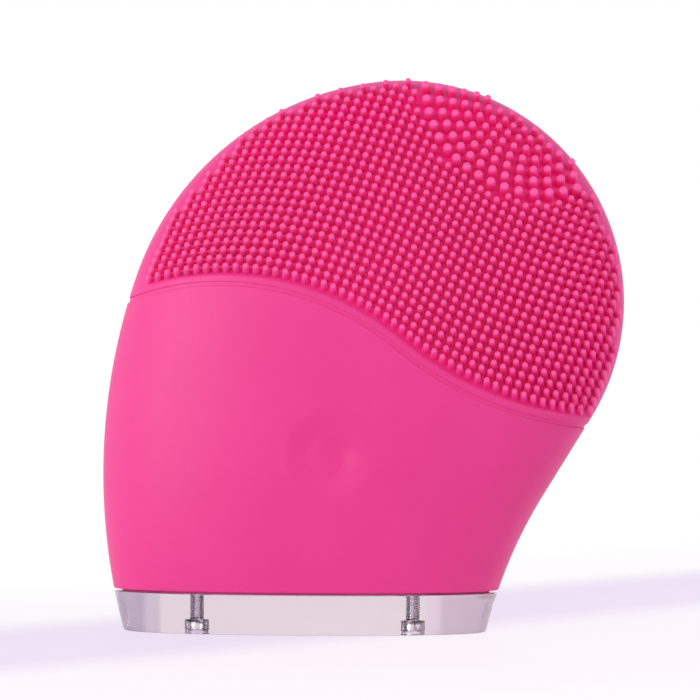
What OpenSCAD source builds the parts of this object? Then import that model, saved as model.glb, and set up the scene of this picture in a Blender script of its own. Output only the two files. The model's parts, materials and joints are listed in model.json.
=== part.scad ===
// Facial cleansing brush: silicone covers over a two-part shell that stands on a clear foot.
// Millimetres. +Z is up, +X is to the right seen from the front, and the bristles face -Y.
// The origin is the middle of the foot's rest face.

/* [Outline seen from the front] */
// Radius of the round head
head_r = 34.7; // [32:0.1:38]
// Sideways place of the head's centre
head_x = 15; // [13:0.1:18]
// Height of the head's centre
head_z = 51.6; // [49:0.1:55]
// Angle on the head, from +X, where the left shoulder leaves it
shoulder_angle = 97.3; // [93:0.1:102]
// Radius of the left flank
flank_r = 94.9; // [90:0.1:110]
// Reach of the left flank from the middle
flank_reach = 31.75; // [29:0.05:34]
// Height at which the left flank is widest
flank_z = 25; // [21:0.5:28]
// Slope of the neck from upright, in degrees
neck_angle = 31.5; // [29:0.5:34]
// Straight run of the neck
neck_run = 14.1; // [11:0.1:17]
// Radius of the hollow below the neck
neck_r = 73; // [62:1:90]

/* [Depth] */
// Greatest depth of the body without its bristles
body_depth = 32.4; // [30:0.1:36]
// Height of the deepest section
deepest_z = 28; // [25:0.5:31]
// Drop below the deepest section over which the depth would taper to nothing
taper_drop = 50.6; // [46:0.1:58]
// Fullness of the level sections, where 2 is an ellipse
fullness = 2.2; // [2:0.05:2.5]

/* [Covers] */
// Wall of the silicone covers
cover_wall = 2; // [1.8:0.1:2.4]
// Gap between the covers and the shells
cover_gap = 0.3; // [0.25:0.05:0.5]
// Width of the groove between the two covers
seam_gap = 0.4; // [0.3:0.05:0.8]
// Sideways place of the seam's crest
crest_x = -13.2; // [-15:0.1:-11]
// Height of the seam's crest
crest_z = 54.4; // [52:0.1:57]
// Radius of the seam left of the crest
seam_left_r = 42.1; // [38:0.1:50]
// Radius of the seam right of the crest
seam_right_r = 42.7; // [38:0.1:46]
// Radius of the seam's trough
trough_r = 53.8; // [48:0.1:60]
// Steepest slope of the seam, in degrees
seam_slope = 40; // [36:0.5:43]
// Radius of the massage ridges on the back of the head
ridge_r = 0.9; // [0.6:0.1:1.2]
// Distance between the massage ridges
ridge_pitch = 5.5; // [4.5:0.1:7]
// Number of massage ridges
ridge_count = 5; // [3:1:5]
// Distance of the ridges' ends from the outline
ridge_margin = 7; // [6:0.5:9]

/* [Bristles] */
// Depth of the bristle floor below the cover's surface
pad_recess = 0.5; // [0.3:0.05:0.7]
// Thickness of the bristles' backing
pad_wall = 0.8; // [0.6:0.05:1]
// Smooth band between the seam and the bristle floor
pad_band = 1.5; // [1:0.1:3]
// Smooth margin between the outline and the bristle floor
pad_margin = 2; // [1.7:0.1:2.8]
// Slack round the bristles' backing
pad_slack = 0.05; // [0.03:0.01:0.15]
// Room between the outermost bristles and the floor's edge
pad_room = 0.35; // [0.3:0.05:0.8]
// Height of a bristle above its floor
bristle_len = 1.9; // [1.4:0.1:2.6]
// Distance between fine bristles along a row, which runs with the seam
fine_pitch = 2.75; // [2.7:0.05:3.4]
// Distance from a bristle to the one above it in the next row
fine_rise = 2.55; // [2.5:0.05:3.2]
// Direction from a bristle to the one above it, from +X
fine_tilt = 68.5; // [64:0.5:72]
// Shift of the bristles along their rows
fine_shift = 2.2; // [0:0.1:2.7]
// Thickness of a fine bristle at its root
fine_d = 1.3; // [0.9:0.05:1.6]
// Radius of the sector of thick bristles
thick_reach = 18.1; // [16:0.1:20]
// Sideways place of the thick sector's centre from the head's centre
thick_dx = 21.5; // [20:0.1:24]
// Height of the thick sector's centre above the head's centre
thick_dz = 35.1; // [33:0.1:37]
// Distance between thick bristles
thick_pitch = 2.2; // [2.1:0.05:2.8]
// Clear distance from the thick sector to the nearest fine bristle
thick_clear = 2.2; // [1.8:0.1:2.6]
// Thickness of a thick bristle at its root
thick_d = 1.6; // [1.3:0.05:1.8]

/* [Button] */
// Sideways place of the button
button_x = 4.2; // [3:0.1:6]
// Height of the button
button_z = 28.1; // [27:0.1:30]
// Radius of the dished button
button_r = 6.4; // [5.8:0.1:7]
// Depth of the button's dish
dish_depth = 0.7; // [0.4:0.05:0.8]
// Radius of the small dimple in the dish
dimple_r = 2.4; // [1.8:0.1:2.8]
// Depth of the small dimple
dimple_depth = 0.35; // [0.2:0.05:0.45]
// Overlap of the dimple with the dish
dimple_lap = 0.05; // [0.03:0.01:0.1]
// Gap round the button
button_gap = 0.3; // [0.2:0.05:0.5]
// Travel of the button
button_travel = 0.5; // [0.3:0.05:0.55]
// Room between the pressed button and the shell
pocket_room = 0.2; // [0.1:0.05:0.4]
// Radius of the plunger behind the button
plunger_r = 2; // [1.6:0.1:2.4]
// Reach of the plunger's flange past its stem
flange_reach = 1; // [0.8:0.1:1.2]
// Thickness of the plunger's flange
flange_t = 0.6; // [0.5:0.05:0.8]
// Gap between the flange and the shell
flange_gap = 0.2; // [0.15:0.05:0.3]
// Clearance of a sliding or turning fit, on the radius
run_fit = 0.05; // [0.03:0.01:0.08]

/* [Foot] */
// Thickness of the clear foot
base_h = 6.2; // [5.6:0.1:7.5]
// Inset of the foot from the body's outline
base_inset = 0; // [0:0.05:0.6]
// Chamfer round the foot's rest face
base_chamfer = 0.3; // [0.2:0.1:0.8]
// Thickness of the gasket above the foot
gasket_h = 0.4; // [0.3:0.05:0.8]
// Inset of the gasket from the body's outline
gasket_inset = 1.2; // [1:0.1:1.6]
// Width of the gasket's ring
gasket_w = 4.5; // [3.5:0.1:5.5]
// Distance between the foot's screws
base_screw_span = 32; // [30:0.1:37]
// Radius of the foot's screws
base_screw_r = 1; // [0.9:0.05:1.2]
// Length of the foot's screws below the head
base_screw_len = 10; // [9.5:0.5:12]
// Height of the heads of the foot's screws
base_head_h = 1.5; // [1.2:0.05:1.7]
// Radius of the screw heads
screw_head_r = 1.75; // [1.6:0.05:1.9]
// Height of the other screw heads
screw_head_h = 1.3; // [1:0.05:1.5]
// Depth of the counterbores in the foot
base_bore_depth = 2.4; // [1.9:0.05:2.6]
// Clearance round a screw head, on the radius
head_slack = 0.3; // [0.2:0.05:0.4]
// Clearance of a screw in its through hole, on the radius
screw_slack = 0.15; // [0.1:0.05:0.25]
// Clearance of a screw in its own boss, on the radius
thread_slack = 0.03; // [0.02:0.01:0.05]
// Room beyond the tip of a screw
tip_room = 0.4; // [0.3:0.05:0.6]
// Wall round the foot's screws in the bottom plate
base_boss_wall = 1.4; // [1.2:0.1:1.6]
// Roof over the foot's screw holes in the bottom plate
base_boss_roof = 0.8; // [0.6:0.05:0.9]

/* [Shells] */
// Wall of the shells
shell_wall = 1.5; // [1.4:0.1:1.8]
// Gap between the two shells, filled by the seal
parting_gap = 0.4; // [0.3:0.05:0.6]
// Inset of the seal from both faces of the shell wall
seal_inset = 0.25; // [0.2:0.05:0.4]
// Thickness of the bottom plate
plate_h = 2; // [1.8:0.1:2.6]
// Thickness of the tongue round the bottom plate
tongue_h = 1; // [0.8:0.1:1.2]
// Reach of the tongue into the shell wall
tongue_reach = 0.8; // [0.6:0.05:0.9]
// Gap round the bottom plate and its tongue
plate_gap = 0.1; // [0.08:0.01:0.2]
// Radius of the bosses that join the shells
boss_r = 3; // [2.8:0.1:3.4]
// Distance of those bosses from the outline
boss_inset = 8; // [7.6:0.1:9]
// Height of the lower pair of bosses
low_boss_z = 19; // [17:0.5:21]
// Height of the upper pair of bosses
high_boss_z = 58; // [56:0.5:60]
// Radius of the shell screws
shell_screw_r = 1; // [0.9:0.05:1.1]
// Length of the shell screws below the head
shell_screw_len = 8.5; // [7.5:0.5:9]
// Distance from the parting to the seat of a shell screw
screw_seat = 3.5; // [3:0.1:4]

/* [Electronics] */
// Width of the circuit board
board_w = 38; // [36:0.5:38.5]
// Height of the circuit board
board_h = 30; // [29:0.5:31]
// Thickness of the circuit board
board_t = 1.2; // [1:0.1:1.6]
// Distance of the board's screws from its edges
board_screw_inset = 2.6; // [2.4:0.1:3]
// Radius of the board's screws
board_screw_r = 0.9; // [0.8:0.05:1]
// Length of the board's screws below the head
board_screw_len = 3.4; // [3:0.1:3.8]
// Radius of the board's bosses
board_boss_r = 2.2; // [2:0.1:2.4]
// Width of the switch body
switch_w = 6; // [5.5:0.1:7]
// Height of the switch body above the board
switch_h = 3.2; // [2.8:0.1:3.6]
// Radius of the switch stem
stem_r = 1.5; // [1.2:0.1:1.7]
// Length of the switch stem
stem_len = 2; // [1.9:0.05:2.3]
// Length of the stem outside the switch body
stem_show = 1.2; // [1:0.05:1.3]
// Room behind the pressed stem
stem_room = 0.1; // [0.05:0.05:0.2]
// Width of the battery
battery_w = 28; // [26:0.5:29]
// Height of the battery
battery_h = 24; // [22:0.5:24.5]
// Thickness of the battery
battery_t = 6; // [5:0.5:7]
// Corner radius of the battery
battery_corner = 1.5; // [1:0.1:2]
// Distance between the battery's tabs
tab_span = 8; // [6:0.5:10]
// Thickness of the foam tape behind the battery
tape_t = 0.8; // [0.5:0.1:1]
// Margin of the foam tape inside the battery's edges
tape_margin = 2; // [1:0.5:4]
// Radius of the insulated leads
lead_r = 0.5; // [0.4:0.05:0.6]
// Reach of a lead's bend where it leaves a piece
lead_bend = 4; // [3:0.1:5]
// Reach of the short bends of the battery's leads
tab_bend = 1.4; // [1.2:0.1:1.6]
// Distance of the soldered ends from the board's edge
solder_inset = 1.5; // [1.3:0.1:1.7]
// Width of the light board
led_board_w = 16; // [14:0.5:18]
// Thickness of the light board
led_board_t = 0.8; // [0.6:0.1:1]
// Width of a light
led_w = 2.8; // [2.4:0.1:3.2]
// Height of a light
led_h = 1.1; // [0.9:0.1:1.4]
// Margin of the light board round a light
led_margin = 1.5; // [1:0.1:2]
// Clearance round a light
led_slack = 0.3; // [0.2:0.05:0.4]

/* [Charging socket] */
// Height of the charging socket's axis
jack_z = 14.2; // [13.8:0.1:14.8]
// Radius of the socket's bore
jack_bore_r = 1.3; // [1.1:0.05:1.5]
// Depth of the socket's bore
jack_bore_depth = 8; // [7:0.5:8.5]
// Radius of the socket's collar
jack_r = 3; // [2.6:0.1:3.2]
// Radius of the socket's flange
jack_flange_r = 4.2; // [3.9:0.1:4.4]
// Thickness of the socket's flange
jack_flange_t = 1.2; // [1:0.1:1.5]
// Thickness of the socket's seal
jack_seal_t = 0.6; // [0.5:0.05:0.8]
// Gap round the socket's collar
jack_gap = 0.1; // [0.05:0.01:0.2]
// Sink of the socket below the skin
jack_sink = 0.3; // [0.2:0.05:0.5]
// Depth of the seal's seat in the shell wall
jack_seat_depth = 0.5; // [0.4:0.05:0.6]
// Wall behind the socket's bore
jack_floor = 1.5; // [1.2:0.1:2]
// Distance between the socket's pins
jack_pin_span = 2.4; // [2:0.1:3]

/* [Vibration motor] */
// Radius of the motor can
can_r = 6; // [5.6:0.1:6.4]
// Length of the motor can
can_len = 20; // [18:0.5:22]
// Wall of the motor can
can_wall = 0.7; // [0.6:0.05:0.9]
// Height of the motor above the head's centre
motor_rise = 7; // [6:0.5:8]
// Distance of the can's middle to the left of the head's centre
motor_shift = 5; // [4:0.5:6]
// Wall of the rubber sleeve round the motor
sleeve_wall = 1.2; // [1:0.1:1.4]
// Length of the rubber sleeve past the ribs
sleeve_over = 1; // [0.6:0.1:1.4]
// Thickness of the end cap
endcap_t = 1.5; // [1.2:0.1:1.8]
// Length of the end cap's spigot
spigot_len = 2; // [1.6:0.1:2.4]
// Length of the can's nose
nose_len = 1.6; // [1.4:0.1:2]
// Radius of the motor shaft
shaft_r = 1; // [0.9:0.05:1.1]
// Length of the shaft past the end cap
shaft_stub = 0.5; // [0.3:0.1:0.8]
// Outer radius of the bushes
bush_r = 2.2; // [2:0.1:2.5]
// Length of the bushes
bush_len = 2.4; // [2:0.1:2.8]
// Thickness of the magnets
magnet_t = 1; // [0.8:0.05:1.1]
// Gap between the magnets and the armature
air_gap = 0.4; // [0.3:0.05:0.6]
// Gap at both ends of the magnets
magnet_gap = 1; // [0.6:0.1:1.4]
// Length of the armature
armature_len = 8; // [7:0.5:9]
// Gap between the armature and the can's closed end
armature_gap = 1.2; // [1:0.1:1.6]
// Width of the slots between the armature's poles
slot_w = 0.9; // [0.7:0.05:1.1]
// Width of the coil windows in the armature
coil_w = 2.2; // [1.8:0.1:2.4]
// Wall of the armature round the shaft
armature_hub = 0.6; // [0.5:0.05:0.7]
// Thickness of the armature's pole shoes
shoe_t = 0.8; // [0.6:0.05:1]
// Radius of the commutator
commutator_r = 2.2; // [1.9:0.1:2.3]
// Gap between the commutator and the end cap
commutator_gap = 0.6; // [0.4:0.1:0.8]
// Width of the motor's terminals
terminal_w = 1.6; // [1.2:0.1:2]
// Thickness of the motor's terminals
terminal_t = 0.3; // [0.2:0.05:0.4]
// Length of the terminals outside the end cap
terminal_out = 2.5; // [2:0.1:3]
// Gap between the terminals and the bush
terminal_gap = 0.35; // [0.3:0.05:0.45]
// Distance of the motor's leads from the button where they meet the board
motor_lead_offset = 10; // [9:0.5:11]
// Distance between the motor's leads where they meet the board
motor_lead_span = 4; // [3:0.1:5]
// Reach of the motor leads' bend at the board
motor_lead_bend = 6; // [5:0.1:7]
// Radius of the eccentric weight
weight_r = 5.5; // [4.8:0.1:6]
// Length of the eccentric weight
weight_len = 7; // [6:0.5:8]
// Gap between the weight and the can's nose
weight_gap = 0.8; // [0.6:0.1:1.2]
// Wall of the weight's hub
hub_wall = 1; // [0.8:0.1:1.2]
// Thickness of the ribs that hold the motor
rib_t = 2; // [1.6:0.1:2.4]
// Distance of the ribs from the ends of the can
rib_inset = 4; // [3.5:0.1:5]
// Height of the ribs past the rubber sleeve
rib_over = 1.5; // [1.2:0.1:2]
// Gap between the ribs and the rubber sleeve
rib_gap = 0.1; // [0.08:0.01:0.2]

/* [Hidden] */
$fn = 48;
// Steps round a section and up a body
round_steps = 36;
rise_steps = 11;
// Steps along the seam, up the flat outline and along a ridge
seam_steps = 30;
outline_steps = 26;
ridge_steps = 10;
// Steps round a boss, a motor rib and the button's dish
boss_steps = 18;
rib_steps = 32;
dish_steps = 120;
// Sides of a fine bristle, a thick bristle, a ridge and a lead
fine_sides = 3;
thick_sides = 4;
ridge_sides = 5;
lead_sides = 6;
// Steps along a lead
lead_steps = 8;
// Overlap that lets a cutter pass right through
pass = 1;
// Reach of a cutter past the whole body
far = 120;
// Depth to which one form is rooted in another
root = 0.3;
// Flat left at the top of a rounded body
top_flat = 0.02;
// Distance that keeps a point off the edge it is tested against
tiny = 0.01;
// Step over which slopes are measured, and over which a ridge's ends are sought
slope_step = 0.2;
scan_step = 0.5;
// Share of the surface's slope that a bristle leans with, and of its thickness left at the tip
bristle_lean = 0.6;
tip_share = 0.7;
// Share of a ridge's radius left at its ends
ridge_end = 0.4;
// Angle from +X at which the rows of thick bristles start
thick_from = 165;
// Length and width of a screw's cross recess, as shares of the head's radius
recess_len = 1.1;
recess_w = 0.25;
// Direction that no lead runs along, from which its sides are set out
lead_ref = [1, -1, 1];

// Names of the pieces

// Plane and vector helpers
function sq(v) = v * v;
function signed_pow(v, e) = sign(v) * pow(abs(v), e);
function unit(v) = v / norm(v);
function ray(angle) = [cos(angle), sin(angle)];

// Arcs of the outline, each tangent to the next
head_c = [head_x, head_z];
top_z = head_z + head_r;
flank_c = [flank_r - flank_reach, flank_z];
shoulder_dir = ray(shoulder_angle);
shoulder_end = head_c + head_r * shoulder_dir;
shoulder_w = shoulder_end - flank_c;
shoulder_r = (shoulder_w * shoulder_w - sq(flank_r)) / (2 * (shoulder_w * shoulder_dir - flank_r));
shoulder_c = shoulder_end - shoulder_r * shoulder_dir;
flank_dir = unit(shoulder_c - flank_c);
flank_end = flank_c + flank_r * flank_dir;
neck_dir = ray(-neck_angle);
neck_top = head_c + head_r * neck_dir;
neck_low = neck_top - neck_run * [sin(neck_angle), cos(neck_angle)];
neck_c = neck_low + neck_r * neck_dir;

// Left and right edge of the body at height z, inset by d
function left_x(z, d) =
    z < (flank_end - d * flank_dir).y ? flank_c.x - sqrt(sq(flank_r - d) - sq(z - flank_c.y))
    : z < (shoulder_end - d * shoulder_dir).y
        ? shoulder_c.x - sqrt(sq(shoulder_r - d) - sq(z - shoulder_c.y))
    : head_x - sqrt(max(0, sq(head_r - d) - sq(z - head_z)));
function right_x(z, d) =
    z > (neck_top - d * neck_dir).y ? head_x + sqrt(max(0, sq(head_r - d) - sq(z - head_z)))
    : z > (neck_low - d * neck_dir).y
        ? (neck_top - d * neck_dir).x - ((neck_top - d * neck_dir).y - z) * tan(neck_angle)
    : neck_c.x - sqrt(sq(neck_r + d) - sq(z - neck_c.y));
function middle_x(z, d) = (left_x(z, d) + right_x(z, d)) / 2;
function half_width(z, d) = (right_x(z, d) - left_x(z, d)) / 2;
function half_depth(z, d) =
    (body_depth / 2 - d) * sqrt(max(0, 1 - sq((z - deepest_z) / (z > deepest_z
        ? top_z - d - deepest_z : taper_drop))));

// Point of the body's surface, inset by d, at angle t round the level z
function skin(t, z, d) = [
    middle_x(z, d) + half_width(z, d) * signed_pow(cos(t), 2 / fullness),
    half_depth(z, d) * signed_pow(sin(t), 2 / fullness),
    z
];
// Distance of the front or back surface from the middle plane at x and z
function skin_y(x, z, d) =
    half_depth(z, d) * pow(max(0, 1 - pow(abs((x - middle_x(z, d)) / half_width(z, d)), fullness)),
        1 / fullness);
// Slopes of that distance along x and z
function slope_x(x, z, d) =
    (skin_y(x + slope_step, z, d) - skin_y(x - slope_step, z, d)) / (2 * slope_step);
function slope_z(x, z, d) =
    (skin_y(x, z + slope_step, d) - skin_y(x, z - slope_step, d)) / (2 * slope_step);

// Height of the seam at x, raised square to itself by e
trough_c = [
    crest_x + (seam_right_r + trough_r) * sin(seam_slope),
    crest_z - seam_right_r + (seam_right_r + trough_r) * cos(seam_slope)
];
function seam_z(x, e) =
    x < crest_x ? crest_z - seam_left_r + sqrt(sq(seam_left_r + e) - sq(x - crest_x))
    : x < crest_x + (seam_right_r + e) * sin(seam_slope)
        ? crest_z - seam_right_r + sqrt(sq(seam_right_r + e) - sq(x - crest_x))
    : trough_c.y - sqrt(max(0, sq(trough_r - e) - sq(x - trough_c.x)));
// Point of the raised seam at length s from its crest
function turn(s, r) = s / r * 180 / PI;
function seam_at(s, e) =
    let (
        a = turn(s, (s < 0 ? seam_left_r : seam_right_r) + e),
        run = (seam_right_r + e) * seam_slope * PI / 180,
        b = seam_slope - turn(s - run, trough_r - e)
    )
        s < 0 ? [crest_x, crest_z - seam_left_r] + (seam_left_r + e) * [sin(a), cos(a)]
        : a < seam_slope ? [crest_x, crest_z - seam_right_r] + (seam_right_r + e) * [sin(a), cos(a)]
        : trough_c - (trough_r - e) * [sin(b), cos(b)];

// Cross recess of a screw head
recess = screw_head_r * [recess_len, recess_w];

// Levels of the skins, as insets from the outside
shell_out = cover_wall + cover_gap;
shell_in = shell_out + shell_wall;
pad_back = pad_recess + pad_wall;

// Heights from the rest face up
cover_low = base_h + gasket_h;
plate_top = cover_low + plate_h;
base_x = middle_x(0, 0);
base_screw_x = [base_x - base_screw_span / 2, base_x + base_screw_span / 2];
base_boss_r = base_screw_r + base_boss_wall;
base_hole_top = base_bore_depth + base_screw_len + tip_room;
base_boss_top = base_hole_top + base_boss_roof;
led_x = [base_x - led_board_w / 4, base_x + led_board_w / 4];
led_board_d = led_w + 2 * led_margin;

// Button stack, from the skin inwards
button_face = -skin_y(button_x, button_z, 0);
button_back = -skin_y(button_x, button_z, cover_wall);
pocket_y = -skin_y(button_x, button_z, shell_out) + button_travel + pocket_room;
shell_back = -skin_y(button_x, button_z, shell_in);
flange_r = plunger_r + flange_reach;
stem_tip = shell_back + flange_gap + flange_t;
switch_face = stem_tip + stem_show;
board_front = switch_face + switch_h;
board_back = board_front + board_t;
battery_front = board_back + tape_t;
battery_low = button_z - battery_h / 2;
battery_top = button_z + battery_h / 2;
board_low = button_z - board_h / 2;
board_top = button_z + board_h / 2;

// Screw places
shell_bosses = [
    [left_x(low_boss_z, boss_inset), low_boss_z],
    [right_x(low_boss_z, boss_inset), low_boss_z],
    [left_x(high_boss_z, boss_inset), high_boss_z],
    [right_x(high_boss_z, boss_inset), high_boss_z]
];
board_holes = [
    for (sx = [-1, 1], sz = [-1, 1])
        [button_x, button_z]
            + [sx * (board_w / 2 - board_screw_inset), sz * (board_h / 2 - board_screw_inset)]
];

// Charging socket, from the skin inwards
jack_end = skin_y(base_x, jack_z, 0) - jack_sink;
jack_seat = skin_y(base_x, jack_z, shell_in) + jack_seat_depth;
jack_flange = jack_seat - jack_seal_t - jack_flange_t;
jack_back = jack_end - jack_bore_depth - jack_floor;

// Motor, along +X
motor_z = head_z + motor_rise;
can_start = head_x - motor_shift - can_len / 2;
can_end = can_start + can_len;
sleeve_r = can_r + sleeve_wall;
can_bore = can_r - can_wall;
armature_r = can_bore - magnet_t - air_gap;
shaft_start = can_start - endcap_t - shaft_stub;
weight_start = can_end + nose_len + weight_gap;
armature_start = can_end - can_wall - armature_gap - armature_len;
commutator_len = armature_start - can_start - spigot_len - commutator_gap;
ribs = [can_start + rib_inset, can_end - rib_inset - rib_t];
terminal_rise = bush_r + terminal_gap + terminal_t / 2;
terminal_len = terminal_out + endcap_t + spigot_len + commutator_gap + commutator_len / 2;

// A ring of points round c, spanned by p and q
function ring(c, p, q, sides) =
    [for (k = [0:sides - 1]) c + cos(360 * k / sides) * p + sin(360 * k / sides) * q];

// A closed body from rings of points, all with the same count
module loft(rings) {
    n = len(rings[0]);
    m = len(rings);
    middle = function(r) [for (k = [0:2]) [for (p = r) p[k]] * [for (p = r) 1 / n]];
    points = concat([for (r = rings) each r], [middle(rings[0]), middle(rings[m - 1])]);
    sides = [
        for (j = [0:m - 2], i = [0:n - 1])
            let (a = j * n + i, b = j * n + (i + 1) % n)
                each [[a, a + n, b], [b, a + n, b + n]]
    ];
    low = [for (i = [0:n - 1]) [m * n, i, (i + 1) % n]];
    high = [for (i = [0:n - 1]) [m * n + 1, (m - 1) * n + (i + 1) % n, (m - 1) * n + i]];
    polyhedron(points, concat(sides, low, high));
}

// The body's form inset by d, from height z_low to its top
module body_form(d, z_low) {
    rise = top_z - d - z_low;
    levels = [
        for (j = [0:rise_steps - 1]) z_low + rise * sin(90 * j / rise_steps),
        top_z - d - top_flat
    ];
    loft([
        for (z = levels)
            [for (i = [0:round_steps - 1]) skin(360 * i / round_steps, z, d)]
    ]);
}

// A level slice of the body's form, inset by d
module body_slice(d, z_low, z_high) {
    loft([
        for (z = [z_low, z_high])
            [for (i = [0:round_steps - 1]) skin(360 * i / round_steps, z, d)]
    ]);
}

// One skin out of several forms
module moulding() {
    resize([0, 0, 0])
        children();
}

// A flat shape in the x-z plane, extruded from y_low to y_high
module slab(y_low, y_high) {
    translate([0, y_high, 0])
        rotate([90, 0, 0])
            linear_extrude(y_high - y_low)
                children();
}

// A round bar along +Y
module bar_y(x, z, r, y_low, y_high) {
    translate([x, y_high, z])
        rotate([90, 0, 0])
            cylinder(r = r, h = y_high - y_low);
}

// A round bar along +X on the motor's axis
module bar_x(r, x_low, x_high) {
    translate([x_low, 0, motor_z])
        rotate([0, 90, 0])
            cylinder(r = r, h = x_high - x_low);
}

// The flat region above the seam, raised by e
module above_seam(e) {
    low = -flank_reach - 5 * pass;
    high = head_x + head_r + 5 * pass;
    xs = [for (i = [0:seam_steps]) low + (high - low) * i / seam_steps];
    polygon(concat([for (x = xs) [x, seam_z(x, e)]], [[high, far], [low, far]]));
}

// The flat outline of the body inset by d, from z_low to its top
module outline(d, z_low) {
    rise = top_z - d - z_low;
    levels = [for (j = [0:outline_steps]) z_low + rise * sin(90 * j / outline_steps)];
    polygon(concat(
        [for (z = levels) [right_x(z, d), z]],
        [for (j = [outline_steps - 1:-1:0]) [left_x(levels[j], d), levels[j]]]
    ));
}

// The front region of the bristle floor, shrunk by m
module pad_region(m) {
    slab(-body_depth, 0)
        intersection() {
            outline(pad_margin + m, cover_low);
            above_seam(seam_gap / 2 + pad_band + m);
        }
}

// The part of the body's form between two insets
module wall_of(d_out, d_in) {
    difference() {
        body_form(d_out, cover_low);
        body_form(d_in, cover_low - pass);
    }
}

// A screw along +Y with its head at the high end, seated at y
module screw_y(x, z, r, y, length) {
    bar_y(x, z, r, y - length, y);
    difference() {
        bar_y(x, z, screw_head_r, y, y + screw_head_h);
        translate([x, y + screw_head_h, z])
            for (turn = [0, 90])
                rotate([0, turn, 0])
                    cube([recess.x, screw_head_h, recess.y], center = true);
    }
}

// A lead from point a to point b, square to what it meets at both ends
function bend(a, u, b, v, s) =
    pow(1 - s, 3) * a + 3 * s * sq(1 - s) * (a + u) + 3 * sq(s) * (1 - s) * (b + v) + pow(s, 3) * b;
module lead(a, u, b, v) {
    path = [for (i = [0:lead_steps]) bend(a, u, b, v, i / lead_steps)];
    ahead = [
        for (i = [0:lead_steps])
            unit(i == 0 ? u : i == lead_steps ? -v : path[i + 1] - path[i - 1])
    ];
    loft([
        for (i = [0:lead_steps])
            let (p = unit(cross(lead_ref, ahead[i])), q = cross(ahead[i], p))
                ring(path[i], lead_r * p, lead_r * q, lead_sides)
    ]);
}

// Silicone covers

module handle_cover() {
    color("#f0308c")
        difference() {
            moulding()
                difference() {
                    wall_of(0, cover_wall);
                    slab(-body_depth, body_depth)
                        above_seam(-seam_gap / 2);
                }
            bar_y(button_x, button_z, button_r + button_gap, -body_depth, 0);
            bar_y(base_x, jack_z, jack_r + jack_gap, 0, body_depth);
        }
}

// A massage ridge that follows the seam on the back of the head, raised by e
module ridge(e) {
    z_of = function(x) seam_z(x, e);
    inside = function(x) z_of(x) < top_z - ridge_margin
        && x > left_x(z_of(x), ridge_margin)
        && x < right_x(z_of(x), ridge_margin);
    xs = [for (x = [-flank_reach:scan_step:head_x + head_r]) if (inside(x)) x];
    reach = [xs[0], xs[len(xs) - 1]];
    loft([
        for (i = [0:ridge_steps])
            let (
                x = reach[0] + (reach[1] - reach[0]) * i / ridge_steps,
                z = z_of(x),
                out = unit([-slope_x(x, z, 0), 1, -slope_z(x, z, 0)]),
                along = unit([1, 0, z_of(x + slope_step) - z_of(x - slope_step)]),
                side = unit(cross(along, out)),
                r = ridge_r * (i == 0 || i == ridge_steps ? ridge_end : 1)
            )
                ring([x, skin_y(x, z, 0), z], r * out, r * side, ridge_sides)
    ]);
}

module brush_cover() {
    color("#f0308c")
        moulding()
            union() {
                difference() {
                    wall_of(0, cover_wall);
                    difference() {
                        translate([-far, -body_depth, 0])
                            cube([2 * far, 2 * body_depth, far - pass]);
                        slab(-body_depth - pass, body_depth + pass)
                            above_seam(seam_gap / 2);
                    }
                    intersection() {
                        wall_of(-pass, pad_back);
                        pad_region(0);
                    }
                }
                for (k = [1:ridge_count])
                    ridge(k * ridge_pitch);
            }
}

// A tapered bristle on the front, rooted in the floor at x and z
module bristle(x, z, d, sides) {
    foot = [x, -skin_y(x, z, pad_recess), z];
    out = unit([
        -bristle_lean * slope_x(x, z, pad_recess),
        -1,
        -bristle_lean * slope_z(x, z, pad_recess)
    ]);
    p = unit(cross(out, [0, 0, 1])) * d / 2;
    q = cross(out, p);
    loft([
        ring(foot - root * out, p, q, sides),
        ring(foot + bristle_len * out, tip_share * p, tip_share * q, sides)
    ]);
}

// Whether a bristle at p, with room m round it, stands on the bristle floor
function on_pad(p, m) =
    p.y < top_z - pad_margin - m
    && p.y > seam_z(p.x, seam_gap / 2 + pad_band + m)
    && p.x > left_x(p.y, pad_margin + m)
    && p.x < right_x(p.y, pad_margin + m);
thick_c = head_c + [thick_dx, thick_dz];
thick_sites = [
    for (row = [0:floor(thick_reach / thick_pitch) - 1])
        let (r = thick_reach - row * thick_pitch, step = thick_pitch / r * 180 / PI)
            for (k = [0:floor(180 / step)])
                let (p = thick_c + r * ray(thick_from + (k + row % 2 / 2) * step))
                    if (on_pad(p, thick_d / 2 + pad_room)) p
];
// Rows of fine bristles are copies of the raised seam, each moved up by one rise
fine_low = seam_gap / 2 + pad_band + pad_room + fine_d / 2 + tiny;
fine_count = ceil(2 * head_r / fine_pitch);
fine_sites = [
    for (j = [0:ceil(2 * head_r / fine_rise)], i = [-fine_count:fine_count])
        let (p = seam_at(i * fine_pitch + fine_shift, fine_low) + j * fine_rise * ray(fine_tilt))
            if (on_pad(p, fine_d / 2 + pad_room) && norm(p - thick_c) > thick_reach + thick_clear) p
];

module bristle_pad() {
    color("#f52c8c")
        moulding()
            union() {
                intersection() {
                    wall_of(pad_recess, pad_back);
                    pad_region(pad_slack);
                }
                for (p = fine_sites)
                    bristle(p.x, p.y, fine_d, fine_sides);
                for (p = thick_sites)
                    bristle(p.x, p.y, thick_d, thick_sides);
            }
}

// Button

// A ball that dishes a face at y to depth h within radius r
module dish(r, y, h) {
    ball_r = (sq(r) + sq(h)) / (2 * h);
    translate([button_x, y + h - ball_r, button_z])
        sphere(r = ball_r, $fn = dish_steps);
}

module button_pad() {
    color("#e8207c")
        difference() {
            bar_y(button_x, button_z, button_r, button_face, button_back);
            dish(button_r, button_face, dish_depth);
            dish(dimple_r, button_face + dish_depth - dimple_lap, dimple_depth);
        }
}

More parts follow.
